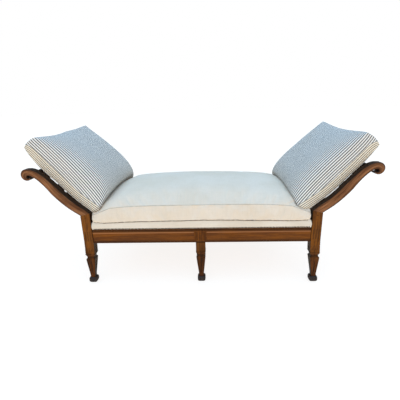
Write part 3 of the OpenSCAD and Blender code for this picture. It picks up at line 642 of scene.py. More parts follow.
# %% Arm curves
ARM_W, ARM_BACK, CURVE_START, CURVE_RINGS, SCROLL_RINGS = 48, 375, 0.16, 46, 30
ARM_START, ARM_MID, ARM_END = (np.array(p) for p in ((662.5, 448.5), (832.5, 602.5), (962.5, 712.5)))
SCROLL, SCROLL_R, EYE, EYE_R, CURL = np.array((972.5, 696.5)), 34.5, np.array((964.5, 686)), 8, 222


def heading(degrees):
    return np.array((math.cos(math.radians(degrees)), math.sin(math.radians(degrees))))


low_curve = [ARM_START, ARM_START + 51 * heading(46), ARM_MID - 140 * heading(51), ARM_MID]
high_curve = [ARM_MID, ARM_MID + 20 * heading(51), ARM_END - np.array((50, 0)), ARM_END]


def on_curve(t):
    """Middle, direction, lower and upper edge of the arm at t, from 0 to 2."""
    p, s = (low_curve, t) if t <= 1 else (high_curve, t - 1)
    weights = ((1 - s) ** 3, 3 * (1 - s) ** 2 * s, 3 * (1 - s) * s * s, s ** 3)
    middle = sum(w * q for w, q in zip(weights, p))
    way = (1 - s) ** 2 * (p[1] - p[0]) + 2 * (1 - s) * s * (p[2] - p[1]) + s * s * (p[3] - p[2])
    way = way / np.linalg.norm(way)
    half = np.array((-way[1], way[0])) * (51 + 2 * t if t <= 1 else 53 - 16 * s) / 2
    return middle, way, middle - half, middle + half


def arm_section(inner, outer, front, back, edge):
    """Rounded rectangle between two points of the front view, from front to back."""
    across = outer - inner
    thick = np.linalg.norm(across)
    across = across / thick
    edge = min(edge, thick * 0.45)
    corners = ((thick - edge, back - edge, 0), (edge, back - edge, 90), (edge, front + edge, 180),
        (thick - edge, front + edge, 270))
    ring = []
    for along, y, turn in corners:
        for a in (0, 22.5, 45, 67.5, 90):
            r = math.radians(turn + a)
            ring.append((along + edge * math.cos(r), y + edge * math.sin(r)))
        if turn in (0, 180):
            (near, level), far = ring[-1], edge if turn == 0 else thick - edge
            ring += [(near + (far - near) * f, level) for f in (0.25, 0.5, 0.75)]
    return [(inner + across * a, y) for a, y in ring]


print("the arm is", round(np.linalg.norm(on_curve(1)[3] - on_curve(1)[2])), "mm thick at its bend")

# %% Arm rings
arm_rings, arm_paths, arm_rim_shade = [], [], []


def add_arm_ring(inner, outer, travelled, edge=7.5, set_in=0, curl=0.0):
    """One ring, where its wood lay along the straight strip, and the painted shade on its rims and in the
    curl.
    """
    section = arm_section(inner, outer, ARM_BACK - ARM_W + set_in, ARM_BACK - set_in, edge)
    width = np.linalg.norm(outer - inner)
    arm_rings.append([(p[0] * MM, y * MM, p[1] * MM) for p, y in section])
    arm_paths.append([(travelled * MM, (p - inner) @ (outer - inner) / width * MM, y * MM)
        for p, y in section])
    for p, y in section:
        from_inner = np.linalg.norm(p - inner)
        in_from_rim = min(from_inner, np.linalg.norm(p - outer)) / width
        # Painted shade: darker towards both rims, where the faces round away from the light, and on the
        # inner half of the curl.
        shade_and_darkening = max(0.0, 1 - in_from_rim / 0.26) * 0.75
        if curl and from_inner < width / 2:
            shade_and_darkening = max(shade_and_darkening, min(1, curl * 1.6) * (1 - in_from_rim))
        arm_rim_shade.append(shade_and_darkening)


point, way, *edges = on_curve(0)
elbow, mitre_normal = np.array((POST_X, ELBOW_Z + 0.3)), np.array((math.sin(MITRE), math.cos(MITRE)))
add_arm_ring(*(p - way * (((p - elbow) @ mitre_normal) / (way @ mitre_normal)) for p in edges), 0)
travelled, last = 20, point + way * 20
for i in range(CURVE_RINGS + 1):
    point, way, lower, upper = on_curve(CURVE_START + (2 - CURVE_START) * i / CURVE_RINGS)
    travelled += np.linalg.norm(point - last)
    last = point
    add_arm_ring(lower, upper, travelled)
for share in (i / SCROLL_RINGS for i in range(SCROLL_RINGS + 1)):
    turn = heading(90 - CURL * share)
    outer = SCROLL + SCROLL_R * (1 - 0.12 * share ** 2) * turn
    add_arm_ring(EYE + EYE_R * turn, outer, travelled + 9 + 60 * share, 7.5 - 3 * share, curl=share)
tip = heading(90 - CURL - 9)
outer, inner = SCROLL + SCROLL_R * 0.84 * tip, EYE + EYE_R * tip
tip_middle = (outer + inner) / 2
add_arm_ring(tip_middle + (inner - tip_middle) * 0.6, tip_middle + (outer - tip_middle) * 0.6,
    travelled + 72, 3, set_in=2)
print("an arm is", round(travelled + 72), "mm of strip along its middle line")

# %% The four arms
arm_points, arm_faces = loft(arm_rings)
for side, side_name in SIDES:
    for row, row_name in ROWS:
        node = f"{row_name}_{side_name}_arm"
        arm = make_piece("scrolled_" + node, *mirrored(arm_points, arm_faces, side, row), arm_wood,
            "frame", [node], "polished_wood", sharp=60)
        own_board = 3 + side + 2 * row
        store(arm, "path", [(a + own_board, b, c) for path in arm_paths for a, b, c in path])
        store(arm, "shade_and_darkening", arm_rim_shade)
print("an arm has", len(arm_faces), "faces")

# %% [markdown]
# ## Rails, slats, tablets
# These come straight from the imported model, whose shapes are right. A weld and a small bevel
# break their sharp edges, as a scraper does, and the grain follows each piece's length.

# %% Finishes on the frame's own nodes
def dress(node, material, break_edge):
    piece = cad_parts[node]
    piece.data.materials.clear()
    piece.data.materials.append(material)
    weld = piece.modifiers.new("weld", "WELD")
    weld.merge_threshold = 0.00002
    bevel = piece.modifiers.new("broken_edges", "BEVEL")
    bevel.width, bevel.segments, bevel.limit_method = break_edge, 2, "ANGLE"
    bevel.angle_limit = math.radians(35)
    bevel.harden_normals = True


slats = [f"{side_name}_{slat}_slat" for _, side_name in SIDES for slat in ("crest", "upper", "lower")]
for nodes, material, slot, break_edge in (
        (("front_rail", "back_rail"), rail_wood["x"], "polished_wood", 0.0012),
        (("left_end_rail", "right_end_rail"), rail_wood["y"], "polished_wood", 0.0012),
        (slats, slat_wood, "polished_wood", 0.003),
        (("front_tablet", "back_tablet"), tablet_wood, "polished_wood", 0.0008),
        (("cross_bearer",), bare_wood, "plain_wood", 0.0012),
        (("corner_blocks",), bare_wood, "plain_wood", 0.002),
        (("foot_dowels",), bare_wood, "plain_wood", 0.0006),
        (("arm_pegs",), slat_wood, "dark_wood", 0.0008),
        (("corner_screws",), dull_brass, "screw_metal", 0.0004)):
    for node in nodes:
        dress(node, material, break_edge)
print("nodes dressed:", sum(1 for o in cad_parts.values() if o.modifiers))

# %% [markdown]
# ## Nails
# The cover is held by close rows of small domed nails. One dome is turned from a short profile
# and repeated along the rail, in one mesh for a row.

# %% Nail rows
DECK_X, DECK_Y, WING_X, WING_Y = 640, 371, 696, 315
NAIL_PITCH, NAIL_END, NAIL_Z, NAIL_SIDES = 8.5, 9, RAIL_TOP - 4, 10
DOME, DOME_TOP = [(3.9, -0.6), (3.9, 0.25), (3.6, 0.9), (2.9, 1.5), (1.9, 1.9), (0.9, 2.1)], 2.2


def nail_row(name, side, lengthwise, stands_for):
    """A row on one rail, at side -1 or 1, lengthwise on a long rail or else on an end rail."""
    reach, rail_at = (DECK_X, DECK_Y) if lengthwise else (WING_Y, WING_X)

    def place(along, z, out):
        across = side * (rail_at + out)
        x, y = (along, across) if lengthwise else (across, along)
        return x * MM, y * MM, z * MM

    beside = [(i, (i + 1) % NAIL_SIDES) for i in range(NAIL_SIDES)]
    points, faces, count = [], [], int((reach - NAIL_END) // NAIL_PITCH)
    for k in range(-count, count + 1):
        base, uneven = len(points), 0.25 * math.sin(k * 2.3)
        along, z = k * NAIL_PITCH + uneven, NAIL_Z + uneven
        for radius, out in DOME:
            points += [place(along + radius * math.cos(2 * math.pi * a / NAIL_SIDES),
                z + radius * math.sin(2 * math.pi * a / NAIL_SIDES), out) for a in range(NAIL_SIDES)]
        points.append(place(along, z, DOME_TOP))
        rings = [[base + ring * NAIL_SIDES + i for i in range(NAIL_SIDES)] for ring in range(len(DOME))]
        for low, high in zip(rings, rings[1:]):
            faces += [(low[i], low[n], high[n], high[i]) for i, n in beside]
        faces += [(rings[-1][i], rings[-1][n], len(points) - 1) for i, n in beside]
        faces.append(tuple(rings[0][::-1]))
    if lengthwise != (side < 0):
        faces = [f[::-1] for f in faces]
    make_piece(name, points, faces, antique_nail, "frame", [stands_for], "nail_metal", sharp=60)
    print(name, "has", 2 * count + 1, "nails")


nail_row("front_domes", -1, True, "front_nails")
nail_row("back_domes", 1, True, "back_nails")
nail_row("left_domes", -1, False, "left_end_nails")
nail_row("right_domes", 1, False, "right_end_nails")

# %% [markdown]
# ## The linen band
# Under the loose cushion lies a fixed pad on webbing, covered in the same linen and nailed into
# a rebate of the rails. Its plan is a cross, because it is cut out around the four posts. A grid
# over that plan takes the crown and the rounded edge, and its rim goes down as the band.

# %% Band grid
DECK_H, DECK_CROWN, BAND_ROUND, BAND_LOW, BAND_HOLLOW = 41, 14, 13, 359.5, 372.4


def deck_z(x):
    return RAIL_TOP + DECK_H + DECK_CROWN * (1 - np.minimum(np.abs(x) / DECK_X, 1) ** 2)


def lines(limits, step):
    """Positive and negative grid lines, closer together just inside each limit."""
    found = {0.0}
    for limit in limits:
        found |= {limit - d for d in (0, 1.2, 3.2, 6, 9.5, 14, 22)}
    last = 0.0
    for stop in sorted(found):
        pieces = max(1, math.ceil((stop - last) / step))
        found |= {last + (stop - last) * i / pieces for i in range(pieces)}
        last = stop
    half = sorted(round(v, 3) for v in found)
    return [-v for v in reversed(half[1:])] + half


band_xs, band_ys = lines((DECK_X, WING_X), 22), lines((WING_Y, DECK_Y), 22)


def inside(x, y):
    return (abs(x) < DECK_X and abs(y) < DECK_Y) or (abs(x) < WING_X and abs(y) < WING_Y)


def from_rim(x, y):
    return max(min(DECK_X - abs(x), DECK_Y - abs(y)), min(WING_X - abs(x), WING_Y - abs(y)), 0)


def slack(x, y):
    return 1.3 * noise.noise(Vector((x * 0.011, y * 0.011, 3.7)))


cells = [(i, j) for i in range(len(band_xs) - 1) for j in range(len(band_ys) - 1)
    if inside((band_xs[i] + band_xs[i + 1]) / 2, (band_ys[j] + band_ys[j + 1]) / 2)]
spots = sorted({(i + a, j + b) for i, j in cells for a in (0, 1) for b in (0, 1)})
index = {spot: k for k, spot in enumerate(spots)}
top_faces = [tuple(index[(i + a, j + b)] for a, b in ((0, 0), (1, 0), (1, 1), (0, 1))) for i, j in cells]
edges = {(f[k], f[(k + 1) % 4]) for f in top_faces for k in range(4)}
rim_edges = [(a, b) for a, b in edges if (b, a) not in edges]
print("band grid:", len(top_faces), "cells and", len(rim_edges), "rim edges")

# %% Band mesh
def rim_ways(plan):
    """Which way is outwards at each point of the rim, and nothing at the others."""
    out = np.zeros_like(plan)
    for a, b in rim_edges:
        way = plan[b] - plan[a]
        normal = np.array((way[1], -way[0])) / np.linalg.norm(way)
        out[a] += normal
        out[b] += normal
    return np.sign(np.round(out, 6))


def band_mesh():
    plan = np.array([(band_xs[i], band_ys[j]) for i, j in spots])
    out, points = rim_ways(plan), []
    for x, y in plan:
        d = from_rim(x, y)
        drop = BAND_ROUND - math.sqrt(BAND_ROUND ** 2 - max(0, BAND_ROUND - d) ** 2)
        points.append((x, y, float(deck_z(x)) - drop + slack(x, y) * min(1, d / 40)))
    rim = sorted({k for edge in rim_edges for k in edge})
    rows = [dict(zip(rim, rim))]
    levels = [(f, 3.0 * math.sin(math.pi * f) ** 0.8 * (1 - 0.3 * f), None)
        for f in (0.18, 0.38, 0.58, 0.76, 0.9, 1.0)]
    for f, swell, height in levels + [(0, -2.2, BAND_LOW), (0, -2.2, BAND_HOLLOW)]:
        rows.append({})
        for k in rim:
            x, y, top = *plan[k], points[k][2]
            z = top + (BAND_LOW - top) * f if height is None else height
            wave = swell + math.sin(math.pi * f) * noise.noise(Vector((x * 0.02, y * 0.02, 9.1)))
            rows[-1][k] = len(points)
            points.append((x + out[k][0] * wave, y + out[k][1] * wave, z))
    faces = top_faces + [(upper[b], upper[a], lower[a], lower[b])
        for upper, lower in zip(rows, rows[1:]) for a, b in rim_edges]
    under = dict(rows[-1])
    for k in range(len(plan)):
        if k not in under:
            under[k] = len(points)
            points.append((*plan[k], BAND_HOLLOW))
    faces += [tuple(under[k] for k in reversed(f)) for f in top_faces]
    return [(x * MM, y * MM, z * MM) for x, y, z in points], faces


band = make_piece("linen_band", *band_mesh(), band_linen, "frame", ["deck_cover", "deck_pad"], "linen",
    sharp=70)
print("band:", len(band.data.polygons), "faces, top",
    round(max(v.co.z for v in band.data.vertices) / MM), "mm up")

# %% [markdown]
# ## Webbing and hessian
# Seen from below, jute straps are woven over and under each other and carry a sheet of hessian.
# Each strap is a thin strip that rises over one crossing strap and dips under the next.

# %% Straps
STRAP_W, STRAP_T, CROSS_STRAPS, LONG_STRAPS, STRAP_END = 50, 1.75, 11, 5, 6.5


def strap_places(count, reach):
    pitch = 2 * (reach - STRAP_W) / (count - 1)
    return [(k - (count - 1) / 2) * pitch for k in range(count)]


def strap_strip(reach, middle_across, crossings, start_over, swap):
    """A woven strip from -reach to reach: its height follows the straps that it crosses."""
    low, high, rings = RAIL_TOP + 0.05, RAIL_TOP + 2.05, []
    for s in np.round(np.linspace(-reach, reach, 90), 3):
        nearest = int(np.argmin([abs(s - c) for c in crossings]))
        over = ((nearest + start_over) % 2) * 1.0
        away = min(1, max(0, (abs(s - crossings[nearest]) - 24) / 30))
        z = low + (high - low) * (over + (0.5 - over) * away)
        ring = [(-STRAP_W / 2, 0), (STRAP_W / 2, 0), (STRAP_W / 2, STRAP_T), (-STRAP_W / 2, STRAP_T)]
        rings.append([(middle_across + a, s, z + b) if swap else (s, middle_across - a, z + b)
            for a, b in ring])
    return loft(scaled(rings))


def strap_set(name, middles, reach, crossings, start_over, swap, stands_for):
    points, faces = [], []
    for k, middle in enumerate(middles):
        p, f = strap_strip(reach - STRAP_END, middle, crossings, start_over + k, swap)
        faces += [tuple(i + len(points) for i in face)[::-1] for face in f]
        points += p
    make_piece(name, points, faces, jute_web, "frame", [stands_for], "webbing", sharp=30)


cross_at, long_at = strap_places(CROSS_STRAPS, DECK_X), strap_places(LONG_STRAPS, WING_Y)
strap_set("cross_straps", cross_at, DECK_Y, long_at, 0, True, "webbing_cross_straps")
strap_set("long_straps", long_at, WING_X, cross_at, 1, False, "webbing_long_straps")
print("straps:", CROSS_STRAPS, "across and", LONG_STRAPS, "along")

# %% Hessian
HESSIAN_X, HESSIAN_Y, HESSIAN_Z, HESSIAN_T, COLUMNS, LINES = 636, 367, RAIL_TOP + 4.35, 0.55, 81, 41
sheet_points = [(x * HESSIAN_X * MM, y * HESSIAN_Y * MM,
    (HESSIAN_Z + t + 0.12 * math.sin(x * 95) * math.sin(y * 47)) * MM)
    for t in (0.0, HESSIAN_T) for x in np.linspace(-1, 1, COLUMNS) for y in np.linspace(-1, 1, LINES)]
sheet, upper_side = np.arange(COLUMNS * LINES).reshape(COLUMNS, LINES), COLUMNS * LINES
sheet_faces = []
for a in sheet[:-1, :-1].ravel():
    quad = (a, a + LINES, a + LINES + 1, a + 1)
    sheet_faces += [tuple(k + upper_side for k in quad), quad[::-1]]
border = [*sheet[:, 0], *sheet[-1, 1:], *sheet[-2::-1, -1], *sheet[0, -2:0:-1]]
sheet_faces += [(a, b, b + upper_side, a + upper_side) for a, b in zip(border, border[1:] + border[:1])]
hessian = make_piece("hessian_sheet", sheet_points, sheet_faces, jute_cloth, "frame", ["hessian"], "hessian")
print("hessian:", len(sheet_faces), "faces")

# %% [markdown]
# ## Cushions: the cut and the filling
# A boxed cushion is a top and an underside joined by a strip. All three cushions are laid out on
# one grid: u runs along, v across, w from the underside to the top. On a full pillow the top
# cloth also rolls over the edge. The grid measures where each corner of cloth lay on the flat
# cut, so that weave and stripes follow the cloth.

# %% Boxed grid
def spread(count, gather):
    """Steps from -1 to 1 that draw together towards both ends."""
    even = np.linspace(-1, 1, count + 1)
    return even * (1 - gather) + np.sin(even * math.pi / 2) * gather


class BoxedGrid:
    """roll rows of the side still belong to the top cloth; seam_at gives w of the top seam."""

    def __init__(self, nu, nv, rows, gather, roll=0, seam_at=None):
        self.nu, self.nv, self.rows, self.roll = nu, nv, rows, roll
        self.quads = [[(i, j), (i + 1, j), (i + 1, j + 1), (i, j + 1)] for i in range(nu) for j in range(nv)]
        us, vs = spread(nu, gather), spread(nv, gather)
        self.rim = [(i, 0) for i in range(nu)] + [(nu, j) for j in range(nv)]
        self.rim += [(nu - i, nv) for i in range(nu)] + [(0, nv - j) for j in range(nv)]
        spots = [(us[i], vs[j], w) for w in (1, -1) for i in range(nu + 1) for j in range(nv + 1)]
        for r in range(1, rows):
            for i, j in self.rim:
                seam_w = seam_at(us[i]) if roll else 1
                w = 1 + (seam_w - 1) * r / roll if r < roll else seam_w - (1 + seam_w) * (
                    1 - math.cos(math.pi * (r - roll) / (rows - roll))) / 2
                spots.append((us[i], vs[j], w))
        self.spots = np.array(spots)
        self.rings = [[self.ring(r, k) for k in range(len(self.rim))] for r in range(rows + 1)]
        self.seams = [self.rings[roll], self.rings[rows]]
        self.faces = []
        for quad in self.quads:
            self.faces.append(tuple(self.flat(*q) for q in quad))
            self.faces.append(tuple(self.flat(*q) + (nu + 1) * (nv + 1) for q in reversed(quad)))
        for upper, lower in zip(self.rings, self.rings[1:]):
            for k in range(len(self.rim)):
                n = (k + 1) % len(self.rim)
                self.faces.append((upper[k], lower[k], lower[n], upper[n]))

    def flat(self, i, j):
        return i * (self.nv + 1) + j

    def ring(self, r, k):
        size = (self.nu + 1) * (self.nv + 1)
        if r == 0:
            return self.flat(*self.rim[k])
        return size + self.flat(*self.rim[k]) if r == self.rows else 2 * size + (r - 1) * len(self.rim) + k

    def cut(self, points):
        """Where each corner of each face lay on the flat cloth: along, across, on the side strip."""
        nu, nv, size, count = self.nu, self.nv, (self.nu + 1) * (self.nv + 1), len(self.rim)
        flats = []
        for level in (points[:size], points[size:2 * size]):
            grid = level.reshape(nu + 1, nv + 1, 3)
            both = []
            for axis in (0, 1):
                steps = np.linalg.norm(np.diff(grid, axis=axis), axis=2)
                walk = np.insert(np.cumsum(steps, axis), 0, 0, axis)
                whole = walk.take([-1], axis)
                both.append((walk / whole - 0.5) * np.median(whole))
            flats.append(np.stack(both, 2))
        down = np.zeros((self.rows + 1, count))
        for r in range(self.rows):
            down[r + 1] = down[r] + np.linalg.norm(points[self.rings[r + 1]] - points[self.rings[r]], axis=1)
        round_seam = points[self.seams[0] + self.seams[0][:1]]
        walk = np.insert(np.cumsum(np.linalg.norm(np.diff(round_seam, axis=0), axis=1)), 0, 0)
        places = []
        for quad in self.quads:
            places += [(*flats[0][q], 0) for q in quad] + [(*flats[1][q], 0) for q in reversed(quad)]
        ways = [(0, -1)] * nu + [(1, 0)] * nv + [(0, 1)] * nu + [(-1, 0)] * nv
        for r in range(self.rows):
            for k, side in enumerate(ways):
                n = (k + 1) % count
                for level, at, step in ((r, k, k), (r + 1, k, k), (r + 1, n, k + 1), (r, n, k + 1)):
                    if r < self.roll:
                        a, b = flats[0][self.rim[at]]
                        places.append((a + side[0] * down[level, at], b + side[1] * down[level, at], 0))
                    else:
                        places.append((walk[step], down[level, at] - down[self.roll, at], 1))
        return places


print("a grid of 4 by 3 cells and 2 rows has", len(BoxedGrid(4, 3, 2, 0.5).faces), "faces")

# %% [markdown]
# ## Cushions: the stuffing
# The seat's cloth is cut a little larger than its seams and the filling presses it out, so it
# puffs between the seams and puckers beside them. A cloth simulation with air pressure does
# that, for twenty frames. It would balloon, so a cap eases every movement in to under 16 mm. The
# pillows aren't simulated: formulas give their crown, their belly and their drawn-in sides.

# %% Stuffing
FRAMES, CAP = 20, 0.016
CLOTH = {"quality": 6, "mass": 0.25, "tension_stiffness": 18, "compression_stiffness": 18,
    "shear_stiffness": 8, "bending_stiffness": 0.35, "use_pressure": True, "pin_stiffness": 1.0}


def points_of(piece):
    co = np.empty(len(piece.data.vertices) * 3, np.float32)
    piece.data.vertices.foreach_get("co", co)
    return co.reshape(-1, 3).astype(float)


def set_points(piece, points):
    piece.data.vertices.foreach_set("co", np.asarray(points, np.float32).ravel())
    piece.data.update()


def stuff(piece, pressure, fullness, seams):
    """Presses the cloth out; it is cut larger than its seams by the fullness."""
    rest = points_of(piece)
    sewn = piece.vertex_groups.new(name="sewn")
    sewn.add([k for seam in seams for k in seam], 1.0, "REPLACE")
    cloth = piece.modifiers.new("stuffing", "CLOTH")
    for setting, value in CLOTH.items():
        setattr(cloth.settings, setting, value)
    cloth.settings.uniform_pressure_force = pressure
    cloth.settings.effector_weights.gravity = 0
    cloth.settings.vertex_group_mass = "sewn"
    cloth.settings.shrink_min = -fullness
    cloth.collision_settings.use_collision = False
    cloth.point_cache.frame_start, cloth.point_cache.frame_end = 1, FRAMES
    for number in range(1, FRAMES + 1):
        bpy.context.scene.frame_set(number)
    pressed = piece.evaluated_get(bpy.context.evaluated_depsgraph_get())
    moved = np.array([v.co for v in pressed.data.vertices], float) - rest
    piece.modifiers.remove(cloth)
    piece.vertex_groups.remove(sewn)
    bpy.context.scene.frame_set(1)
    far = np.linalg.norm(moved, axis=1, keepdims=True)
    set_points(piece, rest + moved / np.maximum(far, 1e-9) * CAP * np.tanh(far / CAP))
    return float(far.max())


print("simulation is", "run for the seat cushion")

# %% Sewing
ROOM, SEAM_SIDES = 0.8, 6


def sew(name, grid, rest, settle, finish, body, node, slot, pressure=0.0, fullness=0.0):
    """Makes a cushion, stuffs it if there is pressure, and lets it settle on what it lies on."""
    piece = make_piece(name, rest, grid.faces, finish, body, [node], slot, sharp=180)
    store(piece, "cut", grid.cut(rest), "CORNER")
    if pressure:
        far = stuff(piece, pressure, fullness, grid.seams)
        print(name, "moved up to", round(far / MM, 1), "mm before the cap")
    set_points(piece, settle(points_of(piece)))
    return piece


def keep_above(points, normal, reach):
    """Moves points to the upper side of a plane or a curve, with a little room."""
    short = np.maximum(0, reach + ROOM - points @ normal)
    return points + short[:, None] * normal


def seam_line(name, piece, seam, radius, material, body, slot):
    """A thin ridge of folded cloth along a seam."""
    points, rings = points_of(piece), []
    for k, vertex in enumerate(seam):
        before, after = points[seam[k - 1]], points[seam[(k + 1) % len(seam)]]
        way = Vector(after - before).normalized()
        normal = piece.data.vertices[vertex].normal.copy()
        normal = (normal - way * normal.dot(way)).normalized()
        side = way.cross(normal)
        middle = Vector(points[vertex]) - normal * radius * 0.25
        rings.append([tuple(middle + (normal * math.cos(a) + side * math.sin(a)) * radius)
            for a in (i * math.pi / 3 for i in range(SEAM_SIDES))])
    around = [(i, (i + 1) % SEAM_SIDES) for i in range(SEAM_SIDES)]
    faces = []
    for a in range(len(rings)):
        low, high = a * SEAM_SIDES, (a + 1) % len(rings) * SEAM_SIDES
        faces += [(low + i, low + n, high + n, high + i) for i, n in around]
    make_piece(name, [p for ring in rings for p in ring], faces, material, body, (), slot, sharp=180)


def soften(piece, seams, crease):
    """One subdivision, which keeps the seams as creases."""
    on_seam = {tuple(sorted((a, b))) for seam in seams for a, b in zip(seam, seam[1:] + seam[:1])}
    sharpness = piece.data.attributes.new("crease_edge", "FLOAT", "EDGE")
    sharpness.data.foreach_set("value", [crease if tuple(sorted(e.vertices)) in on_seam else 0.0
        for e in piece.data.edges])
    softening = piece.modifiers.new("softening", "SUBSURF")
    softening.levels = softening.render_levels = 1


print("cushions keep", ROOM, "mm of room")

# %% [markdown]
# ## The seat cushion
# The loose seat is a deep, highly crowned feather cushion: the top seam sits low at the ends,
# and the crown rises well above it. It lies on the band's crown and stops short of the posts.

# %% Seat cushion
SEAT_L, SEAT_D, SEAM_Z, SEAM_DROP, SEAM_OUT, SEAT_CROWN = 1281, 740, 500, 35, 11.5, 78
SEAT_SWELL, END_SWELL, SEAT_END, SEAT_EDGE = 9, 2.5, 640.5, 377
FOOT_PLANE, PILLOW_REACH = math.radians(21.4), 350
foot_normal = np.array((math.sin(FOOT_PLANE), math.cos(FOOT_PLANE)))
foot_reach = float(np.array((SEAT_L / 2 - 72, SEAM_Z + 2)) @ foot_normal)


def foot_dome(y):
    """The seat swells up under the middle of a pillow and gives way under its corners."""
    return 24 * np.maximum(0, 1 - (y / PILLOW_REACH) ** 2) - 22 * (np.abs(y) / PILLOW_REACH) ** 10


def under_pillows(x, y, room=0.0):
    """How high the seat may stand under the sloping foot of a pillow."""
    return (foot_reach + foot_dome(y) - room - np.abs(x) * foot_normal[0]) / foot_normal[1]


def rests_at(x, y):
    """The band's top, and outside its rounded front edge as low as the edge goes."""
    over_edge = BAND_ROUND - np.clip(DECK_Y - np.abs(y), 0, BAND_ROUND)
    return deck_z(x) + ROOM - BAND_ROUND + np.sqrt(BAND_ROUND ** 2 - over_edge ** 2)


def waviness(x, y):
    """The low seam of the front hangs in shallow waves."""
    along = np.sin(x * 0.013 + 0.6) + 0.6 * np.sin(x * 0.031 + 2.0) + 0.35 * np.sin(x * 0.067)
    return 0.8 * (1.3 + along) * np.clip((np.abs(y) - 300) / 60, 0, 1)


def swell(s, w):
    """How far a side stands out at w, most in the middle of its height."""
    return np.where(np.abs(s) > 0.9999, np.sign(s) * (1 - w * w), 0.0)


def seat_points(spots):
    """The crown starts a little low, because the stuffing lifts it."""
    u, v, w = spots.T
    corner, lower = 3 * (u * v) ** 8, (1 - w) / 2
    x = u * (SEAT_L / 2 - END_SWELL - corner) + END_SWELL * swell(u, w)
    y = v * (SEAT_D / 2 - SEAT_SWELL - corner - 6 * (1 - u * u)) + SEAT_SWELL * swell(v, w)
    y = y + v * (SEAM_OUT + 6 * (1 - u * u)) * lower ** 1.5
    x = x - u * 14 * np.abs(v) ** 10 * lower ** 2
    puff = (0.985 - 0.145 * np.maximum(0, u)) * np.maximum(0, 1 - u * u) ** 0.34
    puff = puff * np.maximum(0, 1 - v * v) ** 0.58
    top = SEAM_Z - SEAM_DROP * (2 * np.abs(x) / SEAT_L) ** 5 + SEAT_CROWN * puff
    top = np.minimum(top, under_pillows(x, y))
    low = rests_at(x, y) + waviness(x, y)
    return np.stack([x, y, low + (top - low) * (w + 1) / 2], 1) * MM


def seat_limits(points):
    """Keeps the stuffed seat on the band, between the posts and under the pillows."""
    x, y, z = (points / MM).T
    x, y = np.clip(x, -SEAT_END, SEAT_END), np.clip(y, -SEAT_EDGE, SEAT_EDGE)
    z = np.maximum(np.minimum(z, under_pillows(x, y, 0.6)), rests_at(x, y))
    return np.stack([x, y, z], 1) * MM


seat_grid = BoxedGrid(150, 84, 14, 0.75)
seat_rest = seat_points(seat_grid.spots)
print("seat cushion starts", round(np.ptp(seat_rest[:, 2]) / MM), "mm high")

# %% Fill the seat cushion
top_line, low_line = seat_grid.seams
seat = sew("seat_feather_cushion", seat_grid, seat_rest, seat_limits, seat_linen, "seat", "seat_cushion",
    "linen", 3.0, 0.035)
# A painted shadow just above the low seam, darkest in the middle of the front.
crease = np.zeros(len(seat.data.vertices))
crease[low_line] = 0.75 + 0.25 * np.exp(-(points_of(seat)[low_line][:, 0] / 0.42) ** 2)
store(seat, "crease", crease)
# Both seam ridges carry painted shade, light on the top seam and dark on the low one.
seam_line("seat_top_seam", seat, top_line, 0.0016, shaded_top_seam_linen, "seat", "linen")
seam_line("seat_low_seam", seat, low_line, 0.002, low_seam_shadow_linen, "seat", "linen")
soften(seat, seat_grid.seams, 0.7)
print("seat cushion:", len(seat.data.polygons), "faces")

# %% [markdown]
# ## The two pillows
# Each pillow leans on the arms and stands on the seat's end. Its sides pull in between peaked
# corners, its lower edge hangs forward, and the left one is fuller and steeper than the right.

# %% Pillow shapes
PILLOW_W, PILLOW_T, PILLOW_SWELL, PILLOW_PULL, LEAN = 706, 100, 8, 16, 43.4
PILLOWS = {"left": dict(length=538, centre=(785, 675), tilt=51.3, crown=103, skew=-1, tip=-10, thicker=15,
    drawn_in=4.5, far_top=8, droop=0.2),
    "right": dict(length=546, centre=(779, 656), tilt=46.6, crown=87, skew=4, tip=11, thicker=0,
    drawn_in=1.5, far_top=15, droop=0.08)}
lean_normal = np.array((-math.sin(math.radians(LEAN)), math.cos(math.radians(LEAN))))
lean_way = np.array((lean_normal[1], -lean_normal[0]))
arm_top = np.array([on_curve(i / 24)[3] for i in range(49)]
    + [SCROLL + SCROLL_R * heading(a) for a in range(85, -20, -8)])
order = np.argsort(arm_top @ lean_way)
arm_along, arm_height = (arm_top @ lean_way)[order], (arm_top @ lean_normal)[order]


def lies_on(flat, y):
    """Moves points of the front view out of the arm's upper edge, and then out of the seat."""
    flat = keep_above(flat, lean_normal, np.interp(flat @ lean_way, arm_along, arm_height))
    return keep_above(flat, foot_normal, foot_reach + foot_dome(y))


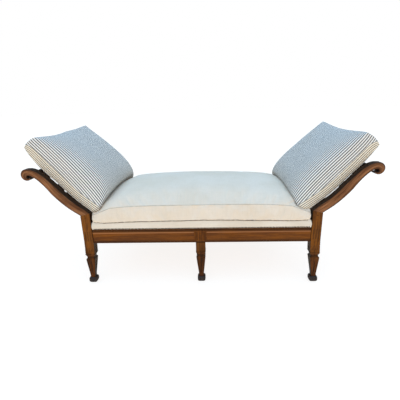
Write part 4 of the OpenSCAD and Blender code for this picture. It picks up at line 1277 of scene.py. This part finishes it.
def pillow_points(spots, length, centre, tilt, crown, skew, tip, thicker, drawn_in, far_top, droop):
    """A right-hand pillow: u goes up the slope, v to the back and w from underside to face."""
    u, v, w = spots.T
    high, low, far, near = (np.maximum(0, part) for part in (u, -u, v, -v))
    corner, half = np.where(u > 0, 8, -12) * (u * v) ** 8, PILLOW_T / 2
    s = u * (length / 2 - PILLOW_SWELL - corner - PILLOW_PULL * (1 - v * v) * u * u)
    s = s + PILLOW_SWELL * swell(u, w) + skew * v - max(0, -tip) * 3.6 * high ** 2 * near * (1 - v * v)
    y = v * (PILLOW_W / 2 - PILLOW_SWELL - np.maximum(0, corner) - PILLOW_PULL * (1 - u * u) * v * v)
    y = y + PILLOW_SWELL * swell(v, w)
    full = (1 - u) / 2 * (v > 0)
    falls = full * v ** 8 + (1 - full) * v ** 4
    puff = np.sqrt(np.maximum(0, (1 - u * u) * (1 - falls)))
    belly = 46 * ((1 - u) / 2) ** 2 * (1 - falls) * (0.5 + 0.5 * v * v)
    peak = u * u * np.where(v > 0, np.abs(v) ** drawn_in, v * v)
    face = half + (48 + 7 * u + 13 * far + tip * high * near - half) * peak + belly
    face = face + crown * (1 - droop * u) * puff + far_top * high * far
    face = face + thicker * (low * far) ** 4
    back = half + (22 + 7 * u - half) * peak + 30 * puff + thicker * np.sin(2.4 * high)
    n = -back + (face + back) * (w + 1) / 2
    flat = np.array(centre, float) + s[:, None] * heading(tilt) + n[:, None] * heading(tilt + 90)
    flat = lies_on(flat, y)
    return np.stack([flat[:, 0], y, flat[:, 1]], 1) * MM


def pillow_limits(points):
    flat = lies_on(points[:, (0, 2)] / MM, points[:, 1] / MM)
    return np.stack([flat[:, 0] * MM, points[:, 1], flat[:, 1] * MM], 1)


def top_seam(u):
    """The top seam drops down the side where the pillow is fullest."""
    return 0.06 + 0.1 * max(0, u) ** 2 - 0.6 * max(0, u) ** 8 + 0.94 * max(0, -u) ** 3


pillow_grid = BoxedGrid(72, 96, 14, 0.9, 5, top_seam)
# Where the painted shade of the gathered lower edge goes on each pillow.
gathered = np.clip((-0.94 - pillow_grid.spots[:, 0]) / 0.06, 0, 1)
print("a pillow has", len(pillow_grid.faces), "faces before it is softened")

# %% Sew the pillows
for side, side_name in SIDES:
    body = "pillow_at_" + side_name
    pillow = sew(side_name + "_ticking_pillow", pillow_grid,
        pillow_points(pillow_grid.spots, **PILLOWS[side_name]),
        lambda points: pillow_limits(points) * (side, 1, 1), ticking, body, side_name + "_pillow",
        "ticking")
    store(pillow, "gathered", gathered)
    if side < 0:
        pillow.data.flip_normals()
    for which, seam in zip(("face", "back"), pillow_grid.seams):
        seam_line(f"{side_name}_pillow_{which}_seam", pillow, seam, 0.0014, seam_ticking, body, "ticking")
    soften(pillow, pillow_grid.seams, 0.35)
    print(side_name, "pillow:", len(pillow.data.polygons), "faces")
